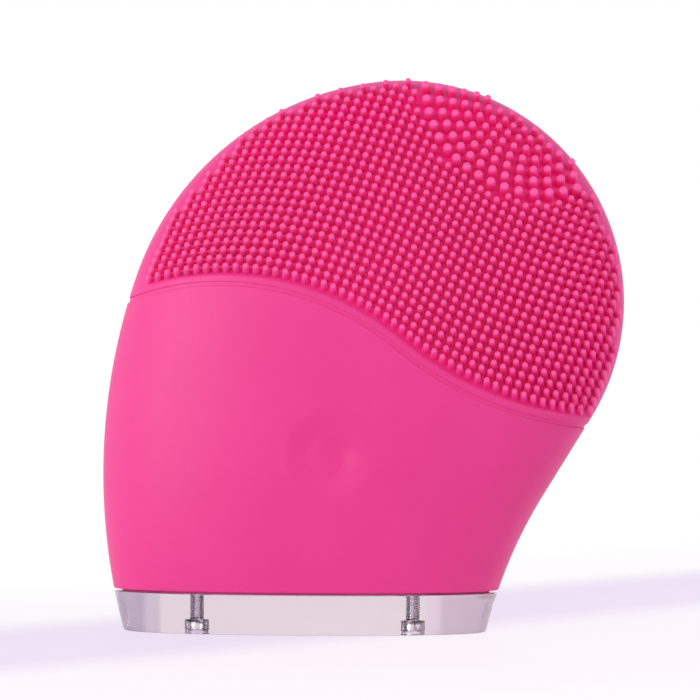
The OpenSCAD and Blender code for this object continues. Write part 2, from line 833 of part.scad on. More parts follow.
module button_plunger() {
    color("white") {
        bar_y(button_x, button_z, plunger_r, button_back, stem_tip);
        bar_y(button_x, button_z, flange_r, shell_back + flange_gap, stem_tip);
    }
}

module switch_stem() {
    color("dimgray")
        bar_y(button_x, button_z, stem_r, stem_tip, stem_tip + stem_len);
}

module tact_switch() {
    color("silver")
        difference() {
            translate([button_x - switch_w / 2, switch_face, button_z - switch_w / 2])
                cube([switch_w, switch_h, switch_w]);
            bar_y(
                button_x, button_z, stem_r + run_fit,
                switch_face - pass, stem_tip + stem_len + button_travel + stem_room
            );
        }
}

// Foot

module clear_base() {
    color("lavender", 0.4)
        difference() {
            loft([
                for (s = [[0, base_chamfer], [base_chamfer, 0], [base_h / 2, 0], [base_h, 0]])
                    [for (i = [0:round_steps - 1]) skin(360 * i / round_steps, s[0], base_inset + s[1])]
            ]);
            for (x = base_screw_x) {
                translate([x, 0, -pass])
                    cylinder(r = base_screw_r + screw_slack, h = base_h + 2 * pass);
                translate([x, 0, -pass])
                    cylinder(r = screw_head_r + head_slack, h = base_bore_depth + pass);
            }
        }
}

module base_screws() {
    color("silver")
        for (x = base_screw_x) {
            translate([x, 0, base_bore_depth])
                cylinder(r = base_screw_r, h = base_screw_len);
            difference() {
                translate([x, 0, base_bore_depth - base_head_h])
                    cylinder(r = screw_head_r, h = base_head_h);
                translate([x, 0, base_bore_depth - base_head_h])
                    for (turn = [0, 90])
                        rotate([0, 0, turn])
                            cube([recess.x, recess.y, base_head_h], center = true);
            }
        }
}

module base_gasket() {
    color("maroon")
        difference() {
            body_slice(gasket_inset, base_h, cover_low);
            body_slice(gasket_inset + gasket_w, base_h - pass, cover_low + pass);
        }
}

module bottom_plate() {
    color("whitesmoke")
        difference() {
            union() {
                moulding()
                    union() {
                        body_slice(shell_in + plate_gap, cover_low, plate_top);
                        body_slice(shell_in - tongue_reach + plate_gap, plate_top - tongue_h, plate_top);
                    }
                for (x = base_screw_x)
                    translate([x, 0, cover_low])
                        cylinder(r = base_boss_r, h = base_boss_top - cover_low);
            }
            for (x = base_screw_x)
                translate([x, 0, cover_low - pass])
                    cylinder(r = base_screw_r + thread_slack, h = base_hole_top - cover_low + pass);
            for (x = led_x)
                translate([x - led_w / 2 - led_slack, -led_w / 2 - led_slack, cover_low - pass])
                    cube([led_w + 2 * led_slack, led_w + 2 * led_slack, plate_h + 2 * pass]);
        }
}

// Lights that shine down into the foot

module led_board() {
    color("seagreen")
        translate([base_x - led_board_w / 2, -led_board_d / 2, plate_top])
            cube([led_board_w, led_board_d, led_board_t]);
}

module leds() {
    color("ivory")
        for (x = led_x)
            translate([x - led_w / 2, -led_w / 2, plate_top - led_h])
                cube([led_w, led_w, led_h]);
}

module led_leads() {
    color("ivory")
        for (side = [-1, 1])
            let (x = base_x + side * (led_board_w / 2 - 2 * lead_r))
                lead(
                    [x, 0, plate_top + led_board_t], [0, 0, lead_bend],
                    [x, board_back, board_low + solder_inset], [0, lead_bend, 0]
                );
}

// Shells

// The half wall of a shell, with the groove for the bottom plate's tongue
module half_shell(y_low, y_high) {
    intersection() {
        difference() {
            wall_of(shell_out, shell_in);
            body_slice(shell_in - tongue_reach, plate_top - tongue_h - plate_gap, plate_top + plate_gap);
        }
        translate([-far, y_low, 0])
            cube([2 * far, y_high - y_low, top_z]);
    }
}

// A rib across the motor, between heights and depths given
module motor_ribs(y_low, y_high) {
    for (x = ribs)
        intersection() {
            difference() {
                translate([x, y_low, motor_z - sleeve_r - rib_over])
                    cube([rib_t, y_high - y_low, 2 * (sleeve_r + rib_over)]);
                bar_x(sleeve_r + rib_gap, x - pass, x + rib_t + pass, $fn = rib_steps);
            }
            body_form(shell_in - root, cover_low);
        }
}

module front_shell() {
    color("whitesmoke")
        difference() {
            moulding()
                union() {
                    half_shell(-body_depth, -parting_gap / 2);
                    motor_ribs(-body_depth, -parting_gap / 2);
                    intersection() {
                        union() {
                            for (p = shell_bosses)
                                bar_y(p.x, p.y, boss_r, -body_depth, -parting_gap / 2, $fn = boss_steps);
                            for (p = board_holes)
                                bar_y(p.x, p.y, board_boss_r, -body_depth, board_front, $fn = boss_steps);
                        }
                        body_form(shell_in - root, cover_low);
                    }
                }
            bar_y(button_x, button_z, button_r + 2 * button_gap, -body_depth, pocket_y);
            bar_y(button_x, button_z, plunger_r + run_fit, -body_depth, 0);
            for (p = shell_bosses)
                bar_y(
                    p.x, p.y, shell_screw_r + thread_slack,
                    screw_seat - shell_screw_len - tip_room, pass
                );
            for (p = board_holes)
                bar_y(
                    p.x, p.y, board_screw_r + thread_slack,
                    board_back - board_screw_len - tip_room, board_front + pass
                );
        }
}

module rear_shell() {
    color("gainsboro")
        difference() {
            moulding()
                union() {
                    half_shell(parting_gap / 2, body_depth);
                    motor_ribs(parting_gap / 2, body_depth);
                    intersection() {
                        for (p = shell_bosses)
                            bar_y(p.x, p.y, boss_r, parting_gap / 2, body_depth, $fn = boss_steps);
                        body_form(shell_in - root, cover_low);
                    }
                }
            for (p = shell_bosses) {
                bar_y(p.x, p.y, shell_screw_r + screw_slack, -pass, body_depth);
                bar_y(p.x, p.y, screw_head_r + head_slack, screw_seat, body_depth);
            }
            bar_y(base_x, jack_z, jack_r + jack_gap, 0, body_depth);
            bar_y(base_x, jack_z, jack_flange_r + jack_gap, 0, jack_seat);
        }
}

module shell_seal() {
    color("dimgray")
        slab(-parting_gap / 2, parting_gap / 2)
            difference() {
                outline(shell_out + seal_inset, plate_top + plate_gap);
                outline(shell_in - seal_inset, plate_top + plate_gap - pass);
            }
}

module shell_screws() {
    color("silver")
        for (p = shell_bosses)
            screw_y(p.x, p.y, shell_screw_r, screw_seat, shell_screw_len);
}

// Electronics

module circuit_board() {
    color("seagreen")
        difference() {
            translate([button_x - board_w / 2, board_front, board_low])
                cube([board_w, board_t, board_h]);
            for (p = board_holes)
                bar_y(p.x, p.y, board_screw_r + screw_slack, board_front - pass, board_back + pass);
        }
}

module board_screws() {
    color("silver")
        for (p = board_holes)
            screw_y(p.x, p.y, board_screw_r, board_back, board_screw_len);
}

// Packages on the front of the board: offset from the button, width, height and thickness
chips = [
    [-9, -4, 5, 5, 1],
    [-9, 5, 4, 3, 1.4],
    [8, -6, 3, 3, 1.1],
    [9, 4, 4, 4, 1.8],
    [8, 10, 2, 1.2, 0.8]
];
module board_chips() {
    color("#303030")
        for (c = chips)
            translate([button_x + c[0] - c[2] / 2, board_front - c[4], button_z + c[1] - c[3] / 2])
                cube([c[2], c[4], c[3]]);
}

module battery() {
    color("silver")
        translate([button_x, battery_front, button_z])
            rotate([-90, 0, 0])
                linear_extrude(battery_t)
                    polygon([
                        for (s = [[1, 1, 0], [-1, 1, 90], [-1, -1, 180], [1, -1, 270]], t = [0, 30, 60, 90])
                            [s.x * battery_w, s.y * battery_h] / 2
                                + battery_corner * (ray(s[2] + t) - [s.x, s.y])
                    ]);
}

module battery_pad() {
    color("dimgray")
        translate([button_x - battery_w / 2 + tape_margin, board_back, battery_low + tape_margin])
            cube([battery_w - 2 * tape_margin, tape_t, battery_h - 2 * tape_margin]);
}

module battery_leads() {
    color("crimson")
        for (side = [-1, 1])
            let (x = button_x + side * tab_span / 2)
                lead(
                    [x, battery_front + battery_t / 2, battery_top], [0, 0, tab_bend],
                    [x, board_back, battery_top + solder_inset], [0, tab_bend, 0]
                );
}

// Charging socket

module charge_jack() {
    color("black")
        difference() {
            union() {
                bar_y(base_x, jack_z, jack_r, jack_back, jack_end);
                bar_y(base_x, jack_z, jack_flange_r, jack_flange, jack_flange + jack_flange_t);
            }
            bar_y(base_x, jack_z, jack_bore_r, jack_end - jack_bore_depth, jack_end + pass);
        }
}

module jack_seal() {
    color("dimgray")
        difference() {
            bar_y(base_x, jack_z, jack_flange_r, jack_seat - jack_seal_t, jack_seat);
            bar_y(base_x, jack_z, jack_r, jack_flange, jack_seat + pass);
        }
}

module jack_leads() {
    color("crimson")
        for (side = [-1, 1])
            let (x = base_x + side * jack_pin_span / 2)
                lead(
                    [x, jack_back, jack_z], [0, -lead_bend, 0],
                    [x, board_back, board_low + solder_inset], [0, lead_bend, 0]
                );
}

// Vibration motor

module motor_can() {
    color("silver")
        difference() {
            union() {
                bar_x(can_r, can_start, can_end);
                bar_x(bush_r + can_wall, can_end, can_end + nose_len);
            }
            bar_x(can_bore, can_start - pass, can_end - can_wall);
            bar_x(bush_r, can_start, can_end + nose_len + pass);
        }
}

module motor_endcap() {
    color("white")
        difference() {
            union() {
                bar_x(can_r, can_start - endcap_t, can_start);
                bar_x(can_bore - run_fit, can_start, can_start + spigot_len);
            }
            bar_x(bush_r, can_start - endcap_t - pass, can_start + spigot_len + pass);
            for (side = [-1, 1])
                translate(terminal_at(side) - [pass, 0, 0])
                    cube([endcap_t + spigot_len + 2 * pass, terminal_w, terminal_t]);
        }
}

module motor_magnets() {
    color("#484848")
        for (side = [0, 180])
            translate([can_start + spigot_len + magnet_gap, 0, motor_z])
                rotate([0, 90, 0])
                    rotate([0, 0, side - 60])
                        rotate_extrude(angle = 120)
                            translate([can_bore - magnet_t, 0])
                                square([magnet_t, can_len - can_wall - spigot_len - 2 * magnet_gap]);
}

module motor_bushes() {
    color("goldenrod")
        for (x = [can_start - endcap_t, can_end + nose_len - bush_len])
            difference() {
                bar_x(bush_r, x, x + bush_len);
                bar_x(shaft_r + run_fit, x - pass, x + bush_len + pass);
            }
}

module motor_shaft() {
    color("silver")
        bar_x(shaft_r, shaft_start, weight_start + weight_len);
}

module motor_armature() {
    color("peru")
        translate([armature_start, 0, motor_z])
            rotate([0, 90, 0])
                linear_extrude(armature_len)
                    difference() {
                        circle(r = armature_r);
                        circle(r = shaft_r);
                        for (pole = [0, 120, 240])
                            rotate(pole) {
                                translate([shaft_r + armature_hub, -slot_w / 2])
                                    square([armature_r, slot_w]);
                                translate([shaft_r + armature_hub, -coil_w / 2])
                                    square([armature_r - shaft_r - armature_hub - shoe_t, coil_w]);
                            }
                    }
}

module motor_commutator() {
    color("goldenrod")
        difference() {
            bar_x(commutator_r, armature_start - commutator_len, armature_start);
            bar_x(shaft_r, can_start, can_end);
        }
}

// Terminals that pass through the end cap and lie along the commutator
function terminal_at(side) =
    [can_start - endcap_t, -terminal_w / 2, motor_z + side * terminal_rise - terminal_t / 2];
module motor_terminals() {
    color("goldenrod")
        for (side = [-1, 1])
            translate(terminal_at(side) - [terminal_out, 0, 0])
                cube([terminal_len, terminal_w, terminal_t]);
}

module eccentric_weight() {
    color("slategray")
        translate([weight_start, 0, motor_z])
            rotate([0, 90, 0])
                linear_extrude(weight_len)
                    difference() {
                        union() {
                            circle(r = shaft_r + hub_wall);
                            intersection() {
                                circle(r = weight_r);
                                translate([0, -weight_r])
                                    square([weight_r, 2 * weight_r]);
                            }
                        }
                        circle(r = shaft_r);
                    }
}

module motor_sleeve() {
    color("dimgray")
        difference() {
            bar_x(sleeve_r, ribs[0] - sleeve_over, ribs[1] + rib_t + sleeve_over);
            bar_x(can_r, can_start, can_end);
        }
}

module motor_leads() {
    board_x = button_x - motor_lead_offset;
    color("royalblue")
        for (side = [-1, 1])
            lead(
                [can_start - endcap_t - terminal_out, 0, motor_z + side * terminal_rise],
                [-lead_bend, 0, 0],
                [board_x - side * motor_lead_span / 2, board_back, board_top - solder_inset],
                [0, motor_lead_bend, 0]
            );
}

handle_cover();
brush_cover();
bristle_pad();
button_pad();
clear_base();
base_screws();
base_gasket();
bottom_plate();
front_shell();
rear_shell();
shell_seal();
shell_screws();
circuit_board();
board_screws();
board_chips();
tact_switch();
switch_stem();
button_plunger();
battery();
battery_pad();
motor_can();
motor_endcap();
motor_magnets();
motor_bushes();
motor_shaft();
motor_armature();
motor_commutator();
motor_terminals();
eccentric_weight();
motor_sleeve();
charge_jack();
jack_seal();
led_board();
leds();
battery_leads();
motor_leads();
jack_leads();
led_leads();
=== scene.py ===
"""Facial cleansing brush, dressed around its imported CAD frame.

Sizes are millimetres up to the point where a mesh is made, and MM turns them into metres there.
+Z is up, +X is to the right seen from the front, and the bristles face -Y.
"""

import json
import math

import bmesh
import bpy
import numpy as np
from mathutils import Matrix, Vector


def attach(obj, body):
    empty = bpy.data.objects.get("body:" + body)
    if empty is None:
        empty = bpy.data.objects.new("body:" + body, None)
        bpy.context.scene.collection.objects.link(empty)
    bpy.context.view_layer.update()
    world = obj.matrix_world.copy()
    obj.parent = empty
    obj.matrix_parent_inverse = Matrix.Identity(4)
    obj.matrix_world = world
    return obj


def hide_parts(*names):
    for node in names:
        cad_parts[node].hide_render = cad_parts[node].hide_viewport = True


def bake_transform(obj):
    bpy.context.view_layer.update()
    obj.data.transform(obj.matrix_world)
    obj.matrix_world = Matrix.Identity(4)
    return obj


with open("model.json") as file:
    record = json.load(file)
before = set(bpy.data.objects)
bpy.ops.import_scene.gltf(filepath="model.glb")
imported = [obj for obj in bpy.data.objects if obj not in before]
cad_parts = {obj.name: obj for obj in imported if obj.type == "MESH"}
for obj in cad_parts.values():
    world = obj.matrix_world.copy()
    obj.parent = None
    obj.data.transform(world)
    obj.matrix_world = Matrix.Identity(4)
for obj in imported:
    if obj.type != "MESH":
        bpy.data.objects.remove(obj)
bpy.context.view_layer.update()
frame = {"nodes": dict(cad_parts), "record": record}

MM = 0.001

# Outline seen from the front: a round head on a handle that leans left
HEAD_R = 34.7
HEAD_X = 15.0
HEAD_Z = 51.6
SHOULDER_ANGLE = 97.3
FLANK_R = 94.9
FLANK_REACH = 31.75
FLANK_Z = 25.0
NECK_ANGLE = 31.5
NECK_RUN = 14.1
NECK_R = 73.0

# Depth from front to back
BODY_DEPTH = 32.4
DEEPEST_Z = 28.0
TAPER_DROP = 50.6
FULLNESS = 2.2

# Seam between handle and cap: a crest and a trough
CREST_X = -13.2
CREST_Z = 54.17
SEAM_LEFT_R = 42.1
SEAM_RIGHT_R = 42.7
TROUGH_R = 53.8
SEAM_SLOPE = 39.55
SEAM_GAP = 0.6

# Silicone covers
COVER_WALL = 2.0
COVER_LOW = 6.6
LIP_FILLET = 0.12
TONGUE_D = 0.2
TONGUE_DROP = 1.4
TONGUE_SLACK = 0.05
POLE_LEAN = 0.577
INNER_EDGE = 0.3
HOLE_ROOM = 1.3
HOLE_SLACK = 0.6

# Smooth band along the seam and the bed that the bristles stand in
BAND = 0.79
BED_MARGIN = 0.6
BED_FILLET = 1.2
RIM_EASE = 0.5
BED_DEPTH = 0.6
BED_RELIEF = 0.6
BED_LAP = 0.5
BED_SHELF = 0.2
SLAB_FRONT = 0.56
SLAB_BACK = 1.05

# Wave ridges on the back of the cap
RIDGE_R = 0.9
RIDGE_PITCH = 5.5
RIDGE_COUNT = 5
RIDGE_MARGIN = 7.0
RIDGE_FADE = 2.5
RIDGE_TOP = 1.25
RIDGE_FALL = 0.75

# Fine bristles: rows that repeat the seam's curve
FINE_D = 1.04
FINE_LEN = 2.25
FINE_SIDES = 10
FINE_SEED = 11
FINE_PITCH = 1.541
FINE_STEPS = np.arange(-45, 75)
FINE_ROWS = 45
FINE_RISE = 1.412
FINE_EASE = 0.067
FINE_TILT = 67.8
FINE_FIRST_E = 0.33
FINE_FIRST_ROW = 2
FINE_FIRST_S = -12.59
FINE_LEFT_MARGIN = 1.2
FINE_RIGHT_MARGIN = 0.75
FINE_MARGIN_X = -20.0
FINE_MARGIN_RUN = 30.0

# Thick bristles: rows about a point beyond the rim, which sag and spread towards the right
THICK_X = 33.85
THICK_Z = 85.1
THICK_DROP = 0.39
THICK_REACH = 15.5
THICK_ROWS = 10
THICK_ROW = 2.075
THICK_ROW_EASE = 0.966
THICK_FIRST = 178.6
THICK_TURN = -0.62
THICK_LAST = 304.0
THICK_STEPS = range(-4, 30)
THICK_STEP = 2.13
THICK_STEP_EASE = 0.951
THICK_D = 1.56
THICK_D_EASE = 0.935
THICK_D_LEAST = 1.0
THICK_LEN = 2.35
THICK_SIDES = 14
THICK_SEED = 12
THICK_CLEAR = 1.35
THICK_SAG = 0.116
THICK_SAG_X = 27.3
THICK_SAG_EASE = 0.15
THICK_STRETCH = 0.1
THICK_STRETCH_X = 30.6

# Both kinds of bristle. The stem's rings are shares of the length and of the radius
LEAN_UP = 25.0
LEAN_SPREAD = 0.015
LENGTH_SPREAD = 0.03
TOP_MARGIN = 0.15
TOP_MARGIN_RISE = 18.0
TOP_MARGIN_RUN = 12.0
BRISTLE_ROOT = 0.5
ROOT_EASE = 1.8
ROOT_WIDTH = 1.12
STEM = ((0.1, 1.03), (0.4, 0.95))
TIP_SHARE = 0.87
TIP_DOME = 0.6
TIP_ANGLES = np.radians([0, 25, 48, 68, 82])

# Painted light on the bed and bristles: lighter at the bed's border, and at the bristles' feet on the left
BED_PAINTED_LIGHT = 0.7
BED_FADE = 1.2
FOOT_PAINTED_LIGHT = 0.45
FOOT_LIGHT_START = -12.0
FOOT_LIGHT_RUN = 47.0

# Button: a dish with a dimple in the handle's own skin
BUTTON_X = 4.2
BUTTON_Z = 28.1
BUTTON_RIM = 7.4
DISH_DEPTH = 0.75
BOWL_R = 2.8
BOWL_X = -1.5
BOWL_Z = -0.8
DIMPLE_X = 1.2
DIMPLE_Z = 0.2
DIMPLE_R = 3.4
DIMPLE_WALL = 3.4
DIMPLE_DEPTH = 0.3
MEMBRANE_WALL = 1.5
RIM_FLARE = 0.15
BACK_SHARE = 0.4

# Charging socket's hole at the back
JACK_Z = 14.2
JACK_R = 3.1

# Clear foot and its screws
FOOT_H = 6.2
FOOT_EDGE = 0.3
FOOT_TOP_EDGE = 0.2
CLEAR_X = -1.65
CLEAR_W = 41.3
CLEAR_FADE = 0.5
SCREW_SPAN = 32.0
SCREW_HOLE_R = 0.88
COUNTERBORE_R = 1.8
COUNTERBORE_DEPTH = 2.4
SCREW_R = 1.0
THREAD_PITCH = 0.4
THREAD_DEPTH = 0.07
SCREW_LEN = 10.0
SCREW_HEAD_R = 1.85
SCREW_HEAD_H = 1.9
RECESS_DEPTH = 0.7
RECESS_LEN = 2.0
RECESS_W = 0.5
RECESS_TAPER = 0.8
RECESS_POINT = 0.15
HEAD_ROUND_R = 0.5
HEAD_ROUND_H = 0.45
HEAD_CHAMFER_R = 0.12
HEAD_CHAMFER_H = 0.15
THREAD_LIFT = 0.06
THREAD_START = 0.1
THREAD_END = 0.5
SCREW_TIP = ((0.8, 0.4), (0.5, 0.0))

# Mesh density
COLUMNS = 400
HANDLE_ROWS = 120
OUTER_HOLE_RINGS = 5
INNER_HOLE_RINGS = 2
BUTTON_SIDES = 192
BUTTON_RINGS = 60
CAP_FINE_END = 3.4
CAP_FINE_STEP = 0.12
CAP_STEP = 0.25
CAP_POLE_ZONE = 6.0
CAP_POLE_ROWS = 40
INNER_ROWS = 40
INNER_POLE_ROWS = 16
SLAB_ROWS = 110
SLAB_POLE_ROWS = 25
SLAB_COLUMNS = 161
POLE_ZONE = 5.0
EDGE_RINGS = 6
FOOT_ROWS = 14
FOOT_SIDES = 48
SCREW_SIDES = 64
THREAD_STEPS = 8
SEARCH_REACH = 90.0
SEARCH_STEPS = 60
TINY = 1e-9


# Plane geometry of the outline
def ray(angle):
    """Unit vector at an angle in degrees."""
    return np.array([math.cos(math.radians(angle)), math.sin(math.radians(angle))])


def turns(count):
    """Evenly spaced angles of a full turn."""
    return 2 * math.pi * np.arange(count) / count


HEAD_C = np.array([HEAD_X, HEAD_Z])
TOP_Z = HEAD_Z + HEAD_R
FLANK_C = np.array([FLANK_R - FLANK_REACH, FLANK_Z])
SHOULDER_DIR = ray(SHOULDER_ANGLE)
SHOULDER_END = HEAD_C + HEAD_R * SHOULDER_DIR
TO_FLANK = SHOULDER_END - FLANK_C
SHOULDER_R = (TO_FLANK @ TO_FLANK - FLANK_R ** 2) / (2 * (TO_FLANK @ SHOULDER_DIR - FLANK_R))
SHOULDER_C = SHOULDER_END - SHOULDER_R * SHOULDER_DIR
FLANK_DIR = (SHOULDER_C - FLANK_C) / np.linalg.norm(SHOULDER_C - FLANK_C)
FLANK_END = FLANK_C + FLANK_R * FLANK_DIR
NECK_DIR = ray(-NECK_ANGLE)
NECK_TOP = HEAD_C + HEAD_R * NECK_DIR
NECK_DOWN = -np.array([math.sin(math.radians(NECK_ANGLE)), math.cos(math.radians(NECK_ANGLE))])
NECK_LOW = NECK_TOP + NECK_RUN * NECK_DOWN
NECK_C = NECK_LOW + NECK_R * NECK_DIR
SEAM_SIN = math.sin(math.radians(SEAM_SLOPE))
SEAM_COS = math.cos(math.radians(SEAM_SLOPE))
TROUGH_C = np.array([
    CREST_X + (SEAM_RIGHT_R + TROUGH_R) * SEAM_SIN,
    CREST_Z - SEAM_RIGHT_R + (SEAM_RIGHT_R + TROUGH_R) * SEAM_COS,
])
SEAM_C = np.array([CREST_X, CREST_Z - SEAM_RIGHT_R])
CAP_REACH = np.linalg.norm(HEAD_C - SEAM_C) + HEAD_R - SEAM_RIGHT_R


def chord(radius, rise):
    """Half the chord of a circle at a height above its middle."""
    return np.sqrt(np.maximum(0.0, radius ** 2 - rise ** 2))


def smooth(t):
    """Smooth step from 0 to 1."""
    t = np.clip(t, 0.0, 1.0)
    return t * t * (3 - 2 * t)


def spow(base, power):
    """Signed power."""
    return np.sign(base) * np.abs(base) ** power


def left_x(z, d=0.0):
    """Left edge of the outline at a height, drawn in by d."""
    flank = FLANK_C[0] - chord(FLANK_R - d, z - FLANK_C[1])
    shoulder = SHOULDER_C[0] - chord(SHOULDER_R - d, z - SHOULDER_C[1])
    head = HEAD_X - chord(HEAD_R - d, z - HEAD_Z)
    upper = np.where(z < SHOULDER_END[1] - d * SHOULDER_DIR[1], shoulder, head)
    return np.where(z < FLANK_END[1] - d * FLANK_DIR[1], flank, upper)


def right_x(z, d=0.0):
    """Right edge of the outline at a height, drawn in by d."""
    head = HEAD_X + chord(HEAD_R - d, z - HEAD_Z)
    top_z = NECK_TOP[1] - d * NECK_DIR[1]
    line = NECK_TOP[0] - d * NECK_DIR[0] - (top_z - z) * math.tan(math.radians(NECK_ANGLE))
    hollow = NECK_C[0] - chord(NECK_R + d, z - NECK_C[1])
    lower = np.where(z > NECK_LOW[1] - d * NECK_DIR[1], line, hollow)
    return np.where(z > top_z, head, lower)


def half_depth(z, d=0.0):
    """Half the depth of the body at a height, drawn in by d."""
    drop = np.where(z > DEEPEST_Z, TOP_Z - d - DEEPEST_Z, TAPER_DROP)
    return (BODY_DEPTH / 2 - d) * np.sqrt(np.maximum(0.0, 1 - ((z - DEEPEST_Z) / drop) ** 2))


def skin_y(x, z, d=0.0):
    """How far the skin stands off the middle plane."""
    left, right = left_x(z, d), right_x(z, d)
    across = (2 * x - left - right) / np.maximum(right - left, TINY)
    return half_depth(z, d) * np.maximum(0.0, 1 - np.abs(across) ** FULLNESS) ** (1 / FULLNESS)


def seam_z(x, e=0.0):
    """Height of the seam's curve, raised by e along its normal."""
    left = CREST_Z - SEAM_LEFT_R + chord(SEAM_LEFT_R + e, x - CREST_X)
    right = CREST_Z - SEAM_RIGHT_R + chord(SEAM_RIGHT_R + e, x - CREST_X)
    trough = TROUGH_C[1] - chord(TROUGH_R - e, x - TROUGH_C[0])
    turn_x = CREST_X + (SEAM_RIGHT_R + e) * SEAM_SIN
    return np.where(x < CREST_X, left, np.where(x < turn_x, right, trough))


def seam_at(s, e):
    """Point of the raised seam at an arc length from the crest."""
    left_a = s / (SEAM_LEFT_R + e)
    right_a = s / (SEAM_RIGHT_R + e)
    slope = math.radians(SEAM_SLOPE)
    rest_a = slope - (s - (SEAM_RIGHT_R + e) * slope) / (TROUGH_R - e)
    x = np.where(
        s < 0,
        CREST_X + (SEAM_LEFT_R + e) * np.sin(left_a),
        CREST_X + (SEAM_RIGHT_R + e) * np.sin(right_a),
    )
    z = np.where(
        s < 0,
        CREST_Z - SEAM_LEFT_R + (SEAM_LEFT_R + e) * np.cos(left_a),
        CREST_Z - SEAM_RIGHT_R + (SEAM_RIGHT_R + e) * np.cos(right_a),
    )
    past = right_a > slope
    x = np.where(past, TROUGH_C[0] - (TROUGH_R - e) * np.sin(rest_a), x)
    z = np.where(past, TROUGH_C[1] - (TROUGH_R - e) * np.cos(rest_a), z)
    return x, z


def seam_rise(x, z):
    """Distance above the seam's curve, along its normal."""
    left = np.hypot(x - CREST_X, z - CREST_Z + SEAM_LEFT_R) - SEAM_LEFT_R
    right = np.hypot(x - CREST_X, z - SEAM_C[1]) - SEAM_RIGHT_R
    trough = TROUGH_R - np.hypot(x - TROUGH_C[0], z - TROUGH_C[1])
    past = (x - CREST_X) * SEAM_COS > (z - SEAM_C[1]) * SEAM_SIN
    return np.where(x < CREST_X, left, np.where(past, trough, right))


def edge_room(x, z):
    """Distance inside the outline, for points of the head."""
    to_head = np.hypot(x - HEAD_X, z - HEAD_Z)
    shoulder = SHOULDER_R - np.hypot(x - SHOULDER_C[0], z - SHOULDER_C[1])
    flank = FLANK_R - np.hypot(x - FLANK_C[0], z - FLANK_C[1])
    neck = (NECK_TOP[0] - x) * NECK_DIR[0] + (NECK_TOP[1] - z) * NECK_DIR[1]
    low_left = FLANK_DIR[0] * (z - FLANK_C[1]) - FLANK_DIR[1] * (x - FLANK_C[0]) > 0
    on_left = SHOULDER_DIR[0] * (z - HEAD_Z) - SHOULDER_DIR[1] * (x - HEAD_X) > 0
    under = NECK_DIR[0] * (z - HEAD_Z) - NECK_DIR[1] * (x - HEAD_X) < 0
    left_room = np.where(low_left, flank, shoulder)
    right_room = np.where(under, neck, HEAD_R - to_head)
    return np.where(on_left, left_room, right_room)


def row_ends(height, inside_x, d):
    """Left and right end of each curve z = height(x) inside the outline drawn in by d."""
    ends = []
    for side in (-1, 1):
        near = np.array(inside_x, dtype=float)
        far = near + side * SEARCH_REACH
        for _ in range(SEARCH_STEPS):
            middle = (near + far) / 2
            z = height(middle)
            outside = (middle < left_x(z, d)) | (middle > right_x(z, d)) | (z > TOP_Z - d)
            near, far = np.where(outside, near, middle), np.where(outside, middle, far)
        ends.append(near)
    return ends


# Mesh making
class Shell:
    """Points and faces of one closed piece."""

    def __init__(self):
        self.points = []
        self.shade_and_bore_masks = []
        self.faces = []
        self.count = 0

    def add(self, points, height=1.0):
        """Adds an array of points and gives their numbers in the same shape.

        height is 1 in the open and 0 deep among the bristles, where the bristle material paints shade; the
        foot's material reads 0 as its screw holes.
        """
        flat = np.asarray(points, dtype=float).reshape(-1, 3)
        numbers = np.arange(self.count, self.count + len(flat))
        self.points.append(flat)
        self.shade_and_bore_masks.append(np.broadcast_to(height, np.shape(points)[:-1]).reshape(-1))
        self.count += len(flat)
        return numbers.reshape(np.asarray(points).shape[:-1])

    def strip(self, a, b):
        """Quads between two closed loops of the same length."""
        self.faces += np.stack([a, np.roll(a, -1), np.roll(b, -1), b], axis=-1).reshape(-1, 4).tolist()

    def grid(self, rows, hole=None):
        """Quads of closed rows, apart from the cells of a hole.

        Rows turn left seen from above, so the quads face out where the rows go up.
        """
        quads = np.stack([rows[:-1], np.roll(rows, -1, 1)[:-1], np.roll(rows, -1, 1)[1:], rows[1:]], axis=-1)
        self.faces += (quads.reshape(-1, 4) if hole is None else quads[~hole]).tolist()

    def fan(self, loop, tip):
        """Triangles from a closed loop to one point."""
        self.faces += [[a, b, tip] for a, b in zip(loop.tolist(), np.roll(loop, -1).tolist())]

    def build(self, name, slot, sharp):
        """The finished object, in metres. Edges that bend by more than sharp degrees stay crisp."""
        mesh = bpy.data.meshes.new(name)
        mesh.from_pydata((np.concatenate(self.points) * MM).tolist(), [], self.faces)
        mesh.shade_smooth()
        mesh.set_sharp_from_angle(angle=math.radians(sharp))
        height = mesh.attributes.new("height", "FLOAT", "POINT")
        height.data.foreach_set("value", np.concatenate(self.shade_and_bore_masks))
        mesh.materials.append(FINISHES[slot])
        obj = bpy.data.objects.new(name, mesh)
        bpy.context.scene.collection.objects.link(obj)
        return obj


LIP_ROLL = np.radians(np.linspace(15, 90, EDGE_RINGS))
TURN = turns(COLUMNS)
ACROSS = spow(np.cos(TURN), 2 / FULLNESS)
FRONT = np.sin(TURN) < 0


def wrap(height, inside_x, d, relief=None):
    """Closed rows of skin points: each row follows z = height(x) round the body, drawn in by d."""
    left, right = row_ends(height, inside_x, d)
    x = ((left + right) / 2)[:, None] + ((right - left) / 2)[:, None] * ACROSS
    z = height(x)
    inset = np.broadcast_to(np.asarray(d, dtype=float)[:, None], x.shape)
    if relief is not None:
        inset = inset + relief(x, z)
    y = np.where(FRONT, -1, 1) * skin_y(x, z, inset)
    y[:, 0] = 0.0
    y[:, COLUMNS // 2] = 0.0
    return np.stack([x, y, z], axis=-1)


def column(values):
    """Lets one value per row meet an array of x, whether that has columns or not."""
    values = np.asarray(values, dtype=float)
    return lambda x: values[:, None] if np.ndim(x) > 1 else values


def handle_rows(share, low, rise, d):
    """Rows between the foot's top (share 0) and the raised seam (share 1)."""
    share, low, rise = column(share), column(low), column(rise)

    def height(x):
        return (1 - share(x)) * low(x) + share(x) * seam_z(x, rise(x))

    return wrap(height, np.zeros(len(d)), np.asarray(d, dtype=float))


